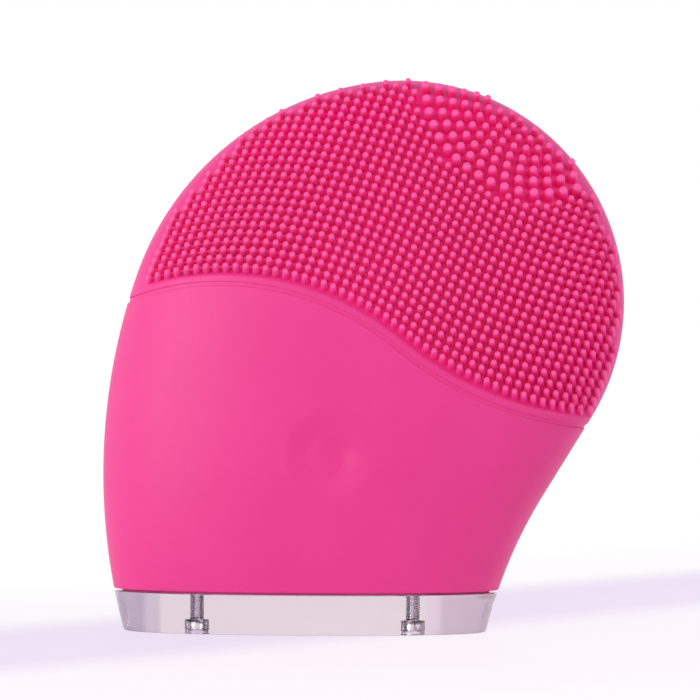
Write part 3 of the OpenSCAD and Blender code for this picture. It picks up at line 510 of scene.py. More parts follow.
def cap_rows(rise, d, relief=None):
    """Rows that repeat the seam at each rise above it."""
    rises = column(rise)
    inside = CREST_X + (SEAM_RIGHT_R + np.asarray(rise)) * POLE_LEAN
    return wrap(lambda x: seam_z(x, rises(x)), inside, np.asarray(d, dtype=float), relief)


def hole_block(points, centre, radius, side):
    """The block of cells that a round hole in front (-1) or behind (1) takes: its end rows and columns."""
    reach = radius * HOLE_ROOM + HOLE_SLACK
    facing = FRONT if side < 0 else ~FRONT
    off = np.abs(points[:, :, [0, 2]] - np.array(centre))
    near_row = np.argmin(np.where(facing, off.sum(axis=-1), np.inf)) // COLUMNS
    cols = np.flatnonzero(facing & (off[near_row, :, 0] < reach))
    rows = np.flatnonzero(off[:, cols[len(cols) // 2], 1] < reach)
    return rows[0], rows[-1], cols[0], cols[-1]


def block_path(r0, r1, c0, c1):
    """The border of a block of cells, as row and column numbers in order."""
    path = [(r0, c) for c in range(c0, c1)] + [(r, c1) for r in range(r0, r1)]
    path += [(r1, c) for c in range(c1, c0, -1)] + [(r, c0) for r in range(r1, r0, -1)]
    return tuple(np.array(path).T)


def hole_rim(shell, points, numbers, path, centre, radius, side, depth):
    """Rings from a block's border in to a round hole, on the skin or at a depth. Gives the last ring."""
    start = points[path][:, [0, 2]]
    out = start - np.array(centre)
    end = np.array(centre) + radius * out / np.linalg.norm(out, axis=1, keepdims=True)
    rings = INNER_HOLE_RINGS if depth else OUTER_HOLE_RINGS
    loop = numbers[path]
    for k in range(1, rings + 1):
        x, z = (start + (end - start) * k / rings).T
        following = shell.add(np.stack([x, side * skin_y(x, z, depth), z], axis=-1))
        shell.strip(*((following, loop) if depth else (loop, following)))
        loop = following
    return loop


def level_ring(x0, radius, level, turn):
    """A level ring about an upright axis in the middle plane. Its radius may vary round it."""
    radius = np.broadcast_to(radius, len(turn))
    return np.stack([x0 + radius * np.cos(turn), radius * np.sin(turn), np.full(len(turn), level)], axis=-1)


# Materials
WHITE = (1.0, 1.0, 1.0)
# Painted shade among the bristles, multiplied into their colour: darkest on the bed and the bristles' lower
# parts, none near the tips
BED_PAINTED_SHADE = (0.93, 0.01, 0.60)
DEEP_PAINTED_SHADE = (1.0, 0.01, 0.80)
DEEP_START = 0.2
DEEP_END = 0.45
OPEN_START = 0.96
# Painted reflection in the foot's milky ends: darker at the left end, lighter at the right
PAINTED_REFLECTION_LEFT = (0.59, 0.51, 0.615)
PAINTED_REFLECTION_RIGHT = (0.87, 0.76, 0.86)
MILKY_CLEAR = 0.35
BORE_TINT = (0.97, 0.95, 0.97)
SHEEN_TINT = (1.0, 0.85, 0.94, 1.0)
NOISE_SPAN = (0.3, 0.7)
DRIFT_DETAIL = 4.0


def opaque(shade):
    return (*shade, 1.0)


def feed(tree, socket, value):
    """Gives a socket a plain value, or a link from another node."""
    if isinstance(value, bpy.types.NodeSocket):
        tree.links.new(value, socket)
    else:
        socket.default_value = value


def add_node(tree, kind, inputs=()):
    """A new shader node, with inputs given by name or number."""
    node = tree.nodes.new("ShaderNode" + kind)
    for key, value in dict(inputs).items():
        feed(tree, node.inputs[key], value)
    return node


def object_place(tree):
    """Place on the object, in metres."""
    return add_node(tree, "TexCoord").outputs["Object"]


def stored_shade_and_bore_mask(tree):
    """What Shell.add keeps with each point: the share of unshaded colour among the bristles, and 0 in the
    foot's screw holes.
    """
    node = add_node(tree, "Attribute")
    node.attribute_name = "height"
    return node.outputs["Fac"]


def calc(tree, operation, *values, kind="Math"):
    """A sum on numbers, or on vectors that gives a number."""
    node = add_node(tree, kind)
    node.operation = operation
    for socket, value in zip(node.inputs, values):
        feed(tree, socket, value)
    return node.outputs["Value"]


def remap(tree, value, span, to=(0.0, 1.0), easing="LINEAR"):
    """Maps a span of values onto another one."""
    names = ("Value", "From Min", "From Max", "To Min", "To Max")
    node = add_node(tree, "MapRange", zip(names, (value, *span, *to)))
    node.interpolation_type = easing
    return node.outputs["Result"]


def ramp(tree, value, stops, easing="LINEAR"):
    """Colours between two or more stops, each a position and a shade."""
    node = add_node(tree, "ValToRGB", {"Fac": value})
    node.color_ramp.interpolation = easing
    elements = node.color_ramp.elements
    for element, (position, shade) in zip(elements, (stops[0], stops[-1])):
        element.position = position
        element.color = opaque(shade)
    for position, shade in stops[1:-1]:
        elements.new(position).color = opaque(shade)
    return node.outputs["Color"]


def mix_colours(tree, share, first, second, blend="MIX"):
    node = add_node(tree, "MixRGB", {"Fac": share, "Color1": first, "Color2": second})
    node.blend_type = blend
    return node.outputs["Color"]


def mix_shaders(tree, share, first, second, output):
    node = add_node(tree, "MixShader", {0: share, 1: first, 2: second})
    feed(tree, tree.nodes[output].inputs["Surface"], node.outputs["Shader"])


def surface(name, shades, rough, grain, relief, drift=60.0, stretch=(1, 1, 1), kind="Noise", **sockets):
    """A moulded, cast or drawn surface, with a drifting colour and a fine grain.

    The colour drifts between the two shades, and gloss and relief follow the grain. grain and drift are
    patterns per metre, relief is the depth of the grain in millimetres, and sockets are further inputs of
    the shader.
    """
    material = bpy.data.materials.new(name)
    material.use_nodes = True
    tree = material.node_tree
    place = add_node(tree, "Mapping", {"Scale": stretch, "Vector": object_place(tree)}).outputs["Vector"]
    broad = add_node(tree, "TexNoise", {"Scale": drift, "Detail": DRIFT_DETAIL, "Vector": place})
    fine = add_node(tree, "Tex" + kind, {"Scale": grain, "Vector": place})
    height = fine.outputs["Distance" if kind == "Voronoi" else "Fac"]
    bump = add_node(tree, "Bump", {"Strength": 1.0, "Distance": relief * MM, "Height": height})
    inputs = {
        "Base Color": ramp(tree, broad.outputs["Fac"], tuple(zip(NOISE_SPAN, shades))),
        "Roughness": remap(tree, height, NOISE_SPAN, rough),
        "Normal": bump.outputs["Normal"],
    }
    inputs.update((key.replace("_", " "), value) for key, value in sockets.items())
    for key, value in inputs.items():
        feed(tree, tree.nodes["Principled BSDF"].inputs[key], value)
    return material


def bristle_silicone():
    """Silicone with painted shade: deep crimson towards the bristles' feet and the bed, where light only
    comes in through other bristles.
    """
    material = surface(
        "bristle_silicone", ((0.97, 0.090, 0.365), (1.0, 0.100, 0.395)), (0.42, 0.52), 3000, 0.004,
        Sheen_Weight=0.25, Sheen_Roughness=0.4, Sheen_Tint=SHEEN_TINT, Specular_IOR_Level=0.5,
    )
    tree = material.node_tree
    base = tree.nodes["Principled BSDF"].inputs["Base Color"]
    shade = ramp(tree, stored_shade_and_bore_mask(tree), (
        (0.0, BED_PAINTED_SHADE), (DEEP_START, DEEP_PAINTED_SHADE), (DEEP_END, DEEP_PAINTED_SHADE), (OPEN_START, WHITE),
    ))
    feed(tree, base, mix_colours(tree, 1.0, base.links[0].from_socket, shade, "MULTIPLY"))
    return material


def clear_plastic():
    """Polished acrylic with faint flow lines, untinted in the screw holes, and milky at both ends with a
    painted reflection, darker at the left end than at the right.
    """
    material = surface(
        "clear_plastic", ((0.755, 0.645, 0.71), (0.79, 0.68, 0.745)), (0.0, 0.03), 900, 0.0012,
        stretch=(0.15, 0.15, 1.0), Transmission_Weight=1.0, IOR=1.3,
    )
    tree = material.node_tree
    shader = tree.nodes["Principled BSDF"]
    base = shader.inputs["Base Color"]
    x = add_node(tree, "SeparateXYZ", {"Vector": object_place(tree)}).outputs["X"]
    along = calc(tree, "SUBTRACT", x, CLEAR_X * MM)
    border = ((CLEAR_W / 2 - CLEAR_FADE) * MM, (CLEAR_W / 2 + CLEAR_FADE) * MM)
    milky = remap(tree, calc(tree, "ABSOLUTE", along), border, easing="SMOOTHSTEP")
    # Painted reflection at the ends: the left end darker than the right
    on_right = calc(tree, "GREATER_THAN", along, 0.0)
    ends = mix_colours(tree, on_right, opaque(PAINTED_REFLECTION_LEFT), opaque(PAINTED_REFLECTION_RIGHT))
    block = mix_colours(tree, milky, base.links[0].from_socket, ends)
    feed(tree, base, mix_colours(tree, stored_shade_and_bore_mask(tree), opaque(BORE_TINT), block))
    feed(tree, shader.inputs["Transmission Weight"], remap(tree, milky, (0.0, 1.0), (1.0, MILKY_CLEAR)))
    return material


FINISHES = {"bristle_silicone": bristle_silicone(), "clear_plastic": clear_plastic()}
for finish, shades, rough, grain, relief, extra in (
    ("silicone", ((0.80, 0.031, 0.255), (0.84, 0.036, 0.275)), (0.46, 0.56), 2600, 0.006, {
        "Sheen_Weight": 0.1, "Sheen_Roughness": 0.5, "Sheen_Tint": SHEEN_TINT, "Specular_IOR_Level": 0.48,
    }),
    ("steel", ((0.93, 0.91, 0.93), (0.98, 0.96, 0.98)), (0.16, 0.28), 1800, 0.004, {"Metallic": 1.0}),
    ("dark_rubber", ((0.030, 0.006, 0.014), (0.05, 0.012, 0.024)), (0.6, 0.75), 2400, 0.01, {}),
    ("crimson_rubber", ((0.70, 0.08, 0.27), (0.78, 0.10, 0.31)), (0.5, 0.65), 2400, 0.01, {}),
    ("white_plastic", ((0.74, 0.74, 0.73), (0.80, 0.80, 0.79)), (0.36, 0.48), 1500, 0.008, {}),
    ("board_laminate", ((0.012, 0.10, 0.045), (0.02, 0.16, 0.07)), (0.3, 0.45), 900, 0.012, {
        "drift": 400, "kind": "Voronoi",
    }),
    ("black_plastic", ((0.014, 0.014, 0.015), (0.028, 0.028, 0.03)), (0.4, 0.55), 2000, 0.01, {}),
    ("battery_foil", ((0.52, 0.53, 0.55), (0.66, 0.67, 0.69)), (0.25, 0.4), 500, 0.03, {
        "drift": 120, "Metallic": 0.9,
    }),
    ("foam", ((0.05, 0.05, 0.055), (0.09, 0.09, 0.095)), (0.85, 0.95), 2600, 0.12, {"kind": "Voronoi"}),
    ("motor_steel", ((0.50, 0.50, 0.51), (0.62, 0.62, 0.63)), (0.2, 0.36), 700, 0.006, {
        "stretch": (0.1, 1, 1), "Metallic": 1.0,
    }),
    ("ferrite", ((0.035, 0.035, 0.04), (0.06, 0.06, 0.065)), (0.6, 0.75), 3000, 0.02, {}),
    ("bronze", ((0.50, 0.31, 0.13), (0.62, 0.40, 0.18)), (0.3, 0.45), 2600, 0.015, {"Metallic": 1.0}),
    ("copper_windings", ((0.55, 0.20, 0.08), (0.75, 0.32, 0.15)), (0.22, 0.36), 3500, 0.05, {
        "stretch": (0.2, 1, 1), "Metallic": 0.9,
    }),
    ("led_lens", ((0.82, 0.80, 0.62), (0.90, 0.88, 0.72)), (0.12, 0.22), 1200, 0.004, {"Coat_Weight": 0.4}),
    ("red_insulation", ((0.42, 0.012, 0.012), (0.52, 0.02, 0.02)), (0.38, 0.5), 2000, 0.008, {}),
    ("blue_insulation", ((0.012, 0.035, 0.30), (0.02, 0.055, 0.40)), (0.38, 0.5), 2000, 0.008, {}),
):
    FINISHES[finish] = surface(finish, shades, rough, grain, relief, **extra)

for part in frame["record"]["subparts"]:
    node = frame["nodes"][part["node"]]
    node.data.materials.clear()
    node.data.materials.append(FINISHES[part["material_slot"]])


# Handle's skin: outer and inner wall, rounded lips, a hole for the button and one for the socket
def make_handle_skin():
    shell = Shell()
    share = np.linspace(0.0, 1.0, HANDLE_ROWS)
    full = np.ones(HANDLE_ROWS)
    seam_edge = -SEAM_GAP / 2
    rebate = -TONGUE_DROP - TONGUE_SLACK
    outer = handle_rows(share, (COVER_LOW + LIP_FILLET) * full, (seam_edge - LIP_FILLET) * full, 0 * full)
    inner_low, inner_top = COVER_LOW + INNER_EDGE, rebate - INNER_EDGE
    inner = handle_rows(share, inner_low * full, inner_top * full, COVER_WALL * full)
    outer_n, inner_n = shell.add(outer), shell.add(inner)

    out = LIP_FILLET * (1 - np.cos(LIP_ROLL))
    up = LIP_FILLET * (np.sin(LIP_ROLL) - 1)
    ledge = TONGUE_D - TONGUE_SLACK
    top_d = np.append(out, [ledge, ledge, COVER_WALL])
    top_e = np.append(seam_edge + up, [seam_edge, rebate, rebate])
    low_d = np.append(out, [COVER_WALL / 2, COVER_WALL])
    low_z = COVER_LOW - np.append(up, [0, 0])
    top = shell.add(handle_rows(np.ones(len(top_d)), 0 * top_d, top_e, top_d))
    low = shell.add(handle_rows(np.zeros(len(low_d)), low_z, 0 * low_d, low_d))
    shell.grid(np.concatenate([outer_n[-1:], top, inner_n[-1:]]))
    shell.grid(np.concatenate([inner_n[:1], low[::-1], outer_n[:1]]))

    hole = np.zeros((HANDLE_ROWS - 1, COLUMNS), dtype=bool)
    for centre, radius, flare, side in (
        ((BUTTON_X, BUTTON_Z), BUTTON_RIM, RIM_FLARE, -1),
        ((0.0, JACK_Z), JACK_R, 0.0, 1),
    ):
        r0, r1, c0, c1 = hole_block(outer, centre, radius, side)
        hole[r0:r1, c0:c1] = True
        path = block_path(r0, r1, c0, c1)
        outer_loop = hole_rim(shell, outer, outer_n, path, centre, radius, side, 0.0)
        inner_loop = hole_rim(shell, inner, inner_n, path, centre, radius + flare, side, COVER_WALL)
        shell.strip(outer_loop, inner_loop)
    shell.grid(outer_n, hole)
    shell.grid(inner_n[::-1], hole[::-1])
    obj = shell.build("handle_skin", "silicone", sharp=60)
    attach(obj, "body")
    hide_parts("handle_cover")


# Button: the thin dished part of the handle's skin
def dish_depth(u, v):
    """Depth of the dish at a place measured from the button's middle."""
    inward = 1 - (u ** 2 + v ** 2) / BUTTON_RIM ** 2
    from_bowl = np.hypot(u - BOWL_X * inward, v - BOWL_Z * inward)
    from_dimple = np.hypot(u - DIMPLE_X, v - DIMPLE_Z)
    bowl = DISH_DEPTH * smooth((BUTTON_RIM - from_bowl) / (BUTTON_RIM - BOWL_R))
    return bowl + DIMPLE_DEPTH * smooth((DIMPLE_R - from_dimple) / DIMPLE_WALL)


def set_in(places, depth):
    """Points of the handle's front at places measured from the button's middle, set in by a depth."""
    x, z = BUTTON_X + places[:, 0], BUTTON_Z + places[:, 1]
    return np.stack([x, depth - skin_y(x, z), z], axis=-1)


def make_button_membrane():
    shell = Shell()
    turn = turns(BUTTON_SIDES)
    wheel = np.stack([np.cos(turn), np.sin(turn)], axis=-1)
    front = []
    back = []
    for r in np.linspace(BUTTON_RIM, 0.0, BUTTON_RINGS)[:-1]:
        depth = dish_depth(*(r * wheel).T)
        front.append(shell.add(set_in(r * wheel, depth)))
        inner = r * (BUTTON_RIM - RIM_FLARE) / BUTTON_RIM
        back.append(shell.add(set_in(inner * wheel, MEMBRANE_WALL + BACK_SHARE * depth)))
    depth = dish_depth(0.0, 0.0)
    tips = shell.add(set_in(np.zeros((2, 2)), np.array([depth, MEMBRANE_WALL + BACK_SHARE * depth])))
    shell.grid(np.stack(back[::-1] + front))
    shell.fan(front[-1], tips[0])
    shell.fan(back[-1][::-1], tips[1])
    obj = shell.build("button_membrane", "silicone", sharp=60)
    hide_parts("button_pad")
    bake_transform(obj)


# Cap over the head: bed for the bristles in front, wave ridges behind
def bed_depth(x, z):
    """How deep the bristles' bed is let into the cap's front."""
    room = np.minimum(RIM_EASE * (edge_room(x, z) - BED_MARGIN), seam_rise(x, z) - SEAM_GAP / 2 - BAND)
    bed = BED_DEPTH * smooth(room / BED_FILLET)
    under = BED_RELIEF * smooth((room - BED_FILLET - BED_SHELF) / BED_RELIEF)
    return bed + under


def ridge_height(x, z):
    """Height of the wave ridges on the back."""
    rise = seam_rise(x, z)
    nearest = np.clip(np.round(rise / RIDGE_PITCH), 1, RIDGE_COUNT) * RIDGE_PITCH
    wave = smooth(RIDGE_TOP - np.abs(rise - nearest) / RIDGE_R * RIDGE_FALL)
    return RIDGE_R * wave * smooth((edge_room(x, z) - RIDGE_MARGIN + RIDGE_FADE) / RIDGE_FADE)


def cap_relief(x, z):
    """Relief of the cap's skin: the bed in front and the ridges behind."""
    return np.where(FRONT, bed_depth(x, z), -ridge_height(x, z))


def near_pole(last, zone, count, first=1):
    """Rises that lie ever closer together, over a zone that ends at the last one."""
    return last - zone * (1 - np.arange(first, count) / count) ** 2


def pole_point(rise):
    """Where rows that repeat the seam shrink to a point."""
    x, z = SEAM_C + (SEAM_RIGHT_R + rise) * (HEAD_C - SEAM_C) / np.linalg.norm(HEAD_C - SEAM_C)
    return x, 0.0, z


def make_brush_cap():
    shell = Shell()
    lip = SEAM_GAP / 2
    rise = np.concatenate([
        np.arange(lip + LIP_FILLET, CAP_FINE_END, CAP_FINE_STEP),
        np.arange(CAP_FINE_END, CAP_REACH - CAP_POLE_ZONE, CAP_STEP),
        near_pole(CAP_REACH, CAP_POLE_ZONE, CAP_POLE_ROWS, first=0),
    ])
    outer = shell.add(cap_rows(rise, 0 * rise, cap_relief))
    inner_reach = CAP_REACH - COVER_WALL
    inner_rise = np.concatenate([
        np.linspace(lip + INNER_EDGE, inner_reach - POLE_ZONE, INNER_ROWS),
        near_pole(inner_reach, POLE_ZONE, INNER_POLE_ROWS),
    ])
    inner = shell.add(cap_rows(inner_rise, 0 * inner_rise + COVER_WALL))
    roll = LIP_ROLL[::-1]
    lips_d = np.append([COVER_WALL, COVER_WALL, TONGUE_D, TONGUE_D], LIP_FILLET * (1 - np.cos(roll)))
    lips_e = np.append([lip, -TONGUE_DROP, -TONGUE_DROP, lip], lip + LIP_FILLET * (1 - np.sin(roll)))
    lips = shell.add(cap_rows(lips_e, lips_d))
    tips = shell.add(np.array([pole_point(CAP_REACH), pole_point(inner_reach)]))
    shell.grid(np.concatenate([inner[::-1], lips, outer]))
    shell.fan(outer[-1], tips[0])
    shell.fan(inner[-1][::-1], tips[1])
    obj = shell.build("brush_cap", "silicone", sharp=60)
    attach(obj, "body")
    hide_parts("brush_cover")


# Bristles on a thin slab that lies in the cap's bed
def lean():
    """Direction of the bristles: forward and a little up."""
    return np.array([0.0, -math.cos(math.radians(LEAN_UP)), math.sin(math.radians(LEAN_UP))])


def feet(tips, length):
    """Where the bristles whose tips are seen at these places stand."""
    return tips - length * lean()[[0, 2]]


def painted_foot_light(x):
    """Painted light: share of the open colour that bristles keep at their feet, most on the side of the key
    light.
    """
    return FOOT_PAINTED_LIGHT * (1 - smooth((x - FOOT_LIGHT_START) / FOOT_LIGHT_RUN))


def fine_sites():
    """Tips of the fine bristles: the seam's curve repeated along a slanted line."""
    x, z = seam_at(FINE_FIRST_S + FINE_PITCH * FINE_STEPS, FINE_FIRST_E)
    slant = ray(FINE_TILT)
    tips = []
    for row in range(FINE_ROWS):
        if row >= FINE_FIRST_ROW:
            tips.append(np.stack([x, z], axis=-1))
        reach = FINE_RISE * (1 - FINE_EASE * np.clip((z - CREST_Z) / (TOP_Z - CREST_Z), -1, 1))
        x, z = x + reach * slant[0], z + reach * slant[1]
    tips = np.concatenate(tips)
    x, z = tips.T
    side = smooth((x - FINE_MARGIN_X) / FINE_MARGIN_RUN)
    margin = FINE_LEFT_MARGIN + (FINE_RIGHT_MARGIN - FINE_LEFT_MARGIN) * side
    margin += (TOP_MARGIN - margin) * smooth((z - HEAD_Z - TOP_MARGIN_RISE) / TOP_MARGIN_RUN)
    keep = edge_room(x, z) > margin
    keep &= np.hypot(x - THICK_X, z + thick_sag(x) - THICK_Z) > THICK_REACH + THICK_CLEAR
    return tips[keep]


def thick_sag(x):
    """How far the lowest row of thick bristles hangs below its arc towards its right end."""
    return THICK_SAG * np.maximum(0, x - THICK_SAG_X)


def thick_sites():
    """Tips and diameters of the thick bristles, in rows about a point beyond the rim."""
    tips = []
    widths = []
    radius, row_step, step, width = THICK_REACH, THICK_ROW, THICK_STEP, THICK_D
    for row in range(THICK_ROWS):
        turn = math.degrees(step / radius)
        for k in THICK_STEPS:
            angle = THICK_FIRST + THICK_TURN * row + k * turn
            if angle < THICK_LAST:
                x, z = (THICK_X, THICK_Z - THICK_DROP * row) + radius * ray(angle)
                z -= (1 - THICK_SAG_EASE * row) * thick_sag(x)
                tips.append((x + THICK_STRETCH * max(0, x - THICK_STRETCH_X), z))
                widths.append(max(width, THICK_D_LEAST))
        radius -= row_step
        row_step *= THICK_ROW_EASE
        step *= THICK_STEP_EASE
        width *= THICK_D_EASE
    tips, widths = np.array(tips), np.array(widths)
    keep = edge_room(*tips.T) > TOP_MARGIN
    return tips[keep], widths[keep]


def bristles(shell, sites, diameter, length, sides, seed):
    """Round-tipped bristles that lean up alike, apart from a little chance."""
    dice = np.random.default_rng(seed)
    x, z = feet(sites, length).T
    sunk = SLAB_FRONT * smooth((edge_room(x, z) - BED_MARGIN) / ROOT_EASE)
    foot = np.stack([x, -skin_y(x, z, sunk), z], axis=-1)
    out = lean() + dice.normal(0, LEAN_SPREAD, foot.shape)
    out /= np.linalg.norm(out, axis=1, keepdims=True)
    side = np.cross(out, np.array([0, 0, 1.0]))
    side /= np.linalg.norm(side, axis=1, keepdims=True)
    other = np.cross(out, side)

    radius = np.broadcast_to(np.asarray(diameter, dtype=float) / 2, len(x))
    length = length * (1 + dice.uniform(-LENGTH_SPREAD, LENGTH_SPREAD, len(x)))
    rises = [np.full(len(x), -BRISTLE_ROOT)] + [share * length for share, _ in STEM]
    widths = [ROOT_WIDTH * radius] + [share * radius for _, share in STEM]
    tip_r = TIP_SHARE * radius
    for a in TIP_ANGLES:
        rises.append(length - tip_r * TIP_DOME * (1 - np.sin(a)))
        widths.append(tip_r * np.cos(a))
    turn = turns(sides)
    wheel = side[:, None, :] * np.cos(turn)[None, :, None] + other[:, None, :] * np.sin(turn)[None, :, None]
    loops = []
    for rise, width in zip(rises, widths):
        loops.append(foot[:, None, :] + out[:, None, :] * rise[:, None, None] + wheel * width[:, None, None])
    # Painted shade along each bristle, dark at the foot and open at the tip, with painted light at the feet
    # on the left
    low = np.maximum(painted_foot_light(x), DEEP_START)[:, None]
    shade_and_bore_masks = low + (1 - low) * np.clip(np.stack(rises, axis=1) / length[:, None], 0, 1)
    loops = shell.add(np.stack(loops, axis=1), shade_and_bore_masks[:, :, None])
    ends = np.stack([foot - out * BRISTLE_ROOT, foot + out * length[:, None]], axis=1)
    ends = shell.add(ends, np.array([0.0, 1.0]))
    for k in range(len(rises) - 1):
        a, b = loops[:, k], loops[:, k + 1]
        quads = np.stack([a, np.roll(a, -1, 1), np.roll(b, -1, 1), b], axis=-1)
        shell.faces += quads.reshape(-1, 4).tolist()
    for loop, end in ((loops[:, 0, ::-1], ends[:, 0]), (loops[:, -1], ends[:, 1])):
        tris = np.stack([loop, np.roll(loop, -1, 1), np.broadcast_to(end[:, None], loop.shape)], axis=-1)
        shell.faces += tris.reshape(-1, 3).tolist()


def make_bristle_field():
    shell = Shell()
    inset = BED_MARGIN + BED_LAP
    first = SEAM_GAP / 2 + BAND + BED_LAP
    last = CAP_REACH - inset
    rise = np.concatenate([
        np.linspace(first, last - POLE_ZONE, SLAB_ROWS), near_pole(last, POLE_ZONE, SLAB_POLE_ROWS),
    ])
    rises = column(rise)
    inside = CREST_X + (SEAM_RIGHT_R + rise) * POLE_LEAN
    left, right = row_ends(lambda x: seam_z(x, rises(x)), inside, np.full(len(rise), inset))
    across = np.cos(np.linspace(math.pi, 0, SLAB_COLUMNS))
    x = ((left + right) / 2)[:, None] + ((right - left) / 2)[:, None] * across
    z = seam_z(x, rises(x))
    front = np.stack([x, -skin_y(x, z, SLAB_FRONT), z], axis=-1)
    back = np.stack([x, -skin_y(x, z, SLAB_BACK), z], axis=-1)
    border = edge_room(x, z) - inset
    # Painted light on the bed: lighter near its border and on the left
    painted_light = np.maximum(painted_foot_light(x), BED_PAINTED_LIGHT * smooth(1 - border / BED_FADE))
    front_n, back_n = shell.add(front, painted_light), shell.add(back, 0.0)
    shell.grid(np.concatenate([front_n, back_n[:, ::-1]], axis=1))
    for a, b in ((back_n[0], front_n[0]), (front_n[-1], back_n[-1])):
        shell.faces += np.stack([a[:-1], a[1:], b[1:], b[:-1]], axis=-1).tolist()
    bristles(shell, fine_sites(), FINE_D, FINE_LEN, FINE_SIDES, FINE_SEED)
    sites, widths = thick_sites()
    bristles(shell, sites, widths, THICK_LEN, THICK_SIDES, THICK_SEED)
    obj = shell.build("bristle_field", "bristle_silicone", sharp=70)
    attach(obj, "body")
    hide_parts("bristle_pad")


# Clear foot: a solid block with a round edge and two stepped screw holes
def fill_flat(shell, loops, facing):
    """Fills a level face between an outer loop and the holes in it, facing up (1) or down (-1)."""
    points = np.concatenate(shell.points)
    work = bmesh.new()
    numbers = []
    edges = []
    for loop in loops:
        verts = [work.verts.new(points[n]) for n in loop]
        numbers += loop.tolist()
        edges += [work.edges.new((a, b)) for a, b in zip(verts, verts[1:] + verts[:1])]
    work.verts.index_update()
    bmesh.ops.triangle_fill(work, edges=edges, use_beauty=True, use_dissolve=False, normal=(0, 0, 1))
    work.normal_update()
    for face in work.faces:
        corners = [numbers[v.index] for v in face.verts]
        shell.faces.append(corners if face.normal.z * facing > 0 else corners[::-1])
    work.free()


def make_foot_block():
    shell = Shell()
    roll = np.radians(np.linspace(0, 90, EDGE_RINGS))
    up, out = 1 - np.cos(roll), 1 - np.sin(roll)
    wall = np.linspace(FOOT_EDGE, FOOT_H - FOOT_TOP_EDGE, FOOT_ROWS)[1:-1]
    z = np.concatenate([FOOT_EDGE * up, wall, FOOT_H - FOOT_TOP_EDGE * up[::-1]])
    d = np.concatenate([FOOT_EDGE * out, 0 * wall, FOOT_TOP_EDGE * out[::-1]])
    level = column(z)
    rows = shell.add(wrap(lambda x: level(x) + 0 * x, 0 * z, d))
    shell.grid(rows)

    turn = turns(FOOT_SIDES)
    top_loops = [rows[-1]]
    low_loops = [rows[0]]
    steps = (
        (COUNTERBORE_R, 0.0), (COUNTERBORE_R, COUNTERBORE_DEPTH),
        (SCREW_HOLE_R, COUNTERBORE_DEPTH), (SCREW_HOLE_R, FOOT_H),
    )
    for x0 in (-SCREW_SPAN / 2, SCREW_SPAN / 2):
        bore = [shell.add(level_ring(x0, radius, height, turn), 0.0) for radius, height in steps]
        shell.grid(np.stack(bore[::-1]))
        low_loops.append(bore[0])
        top_loops.append(bore[-1])
    fill_flat(shell, low_loops, -1)
    fill_flat(shell, top_loops, 1)
    obj = shell.build("foot_block", "clear_plastic", sharp=35)
    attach(obj, "body")
    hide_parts("clear_base")


# Screws of the foot, with a rolled thread and a cross recess
def make_foot_screws():
    shell = Shell()
    turn = turns(SCREW_SIDES)
    along, over = np.abs(np.cos(turn)) + TINY, np.abs(np.sin(turn)) + TINY
    arms = (np.minimum(RECESS_LEN / a, RECESS_W / b) / 2 for a, b in ((along, over), (over, along)))
    cross = np.maximum(*arms)
    seat = COUNTERBORE_DEPTH
    low = seat - SCREW_HEAD_H
    top = seat + SCREW_LEN
    for x0 in (-SCREW_SPAN / 2, SCREW_SPAN / 2):
        rings = [(RECESS_TAPER * cross, low + RECESS_DEPTH), (cross, low)]
        for a in np.radians(np.linspace(20, 90, EDGE_RINGS)):
            radius = SCREW_HEAD_R - HEAD_ROUND_R * (1 - math.sin(a))
            rings.append((radius, low + HEAD_ROUND_H * (1 - math.cos(a))))
        rings.append((SCREW_HEAD_R, seat - HEAD_CHAMFER_H))
        rings += [(SCREW_HEAD_R - HEAD_CHAMFER_R, seat), (SCREW_R, seat)]
        for level in np.arange(seat + THREAD_START, top - THREAD_END, THREAD_PITCH / THREAD_STEPS):
            phase = (level / THREAD_PITCH - turn / (2 * math.pi)) % 1.0
            ridge = np.abs(2 * phase - 1)
            rings.append((SCREW_R + THREAD_LIFT - THREAD_DEPTH * (1 - ridge), level))
        rings += [(SCREW_R * share, top - back) for share, back in SCREW_TIP]
        numbers = shell.add(np.stack([level_ring(x0, radius, level, turn) for radius, level in rings]))
        shell.grid(numbers)
        tips = shell.add(np.array([[x0, 0, low + RECESS_DEPTH + RECESS_POINT], [x0, 0, top]]))
        shell.fan(numbers[0][::-1], tips[0])
        shell.fan(numbers[-1], tips[1])
    obj = shell.build("foot_screws", "steel", sharp=50)
    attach(obj, "body")
    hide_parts("base_screws")


make_handle_skin()
make_button_membrane()
make_brush_cap()
make_bristle_field()
make_foot_block()
make_foot_screws()


# Floor, light and camera, in metres apart from the painted shadow band
FLOOR_R = 0.9
FLOOR_Z = -0.00005
FLOOR_SIDES = 96
FLOOR_ROUGH = 0.35
FLOOR_GRAIN = 12.0
FLOOR_TINTS = ((0.0, (0.93, 0.80, 0.93)), (1.0, (0.97, 0.84, 0.96)))
# Painted shadow: a lilac band across the floor, placed along a direction, in millimetres
FLOOR_AHEAD = (0.85, -0.53, 0.0)
FLOOR_FAR = -130.0
FLOOR_NEAR = 130.0
PAINTED_SHADOW_BAND = (
    (0.0, (1.0, 1.0, 1.0)), (0.28, (0.99, 0.97, 0.99)), (0.40, (0.86, 0.77, 0.92)),
    (0.51, (0.87, 0.78, 0.93)), (0.61, (1.0, 0.94, 1.0)), (1.0, (1.0, 0.96, 1.0)),
)
SHADOW_REACH = (0.04, 0.16)
SHADOW_GLOW = (0.9, 1.0)
WORLD_TINT = (1.0, 0.97, 1.0)
WORLD_POWER = 0.53
TARGET = (0.005, 0.0, 0.045)
LAMPS = (
    ("key", (-0.70, -0.62, 0.35), 0.6, 4.3),
    ("fill", (0.85, -0.48, 0.40), 0.7, 2.1),
    ("rim", (-0.85, 0.15, 0.15), 0.5, 0.8),
)
VIEW_W = 109.75 * MM
VIEW_DISTANCE = 720 * MM
EYE_X = 6.8 * MM
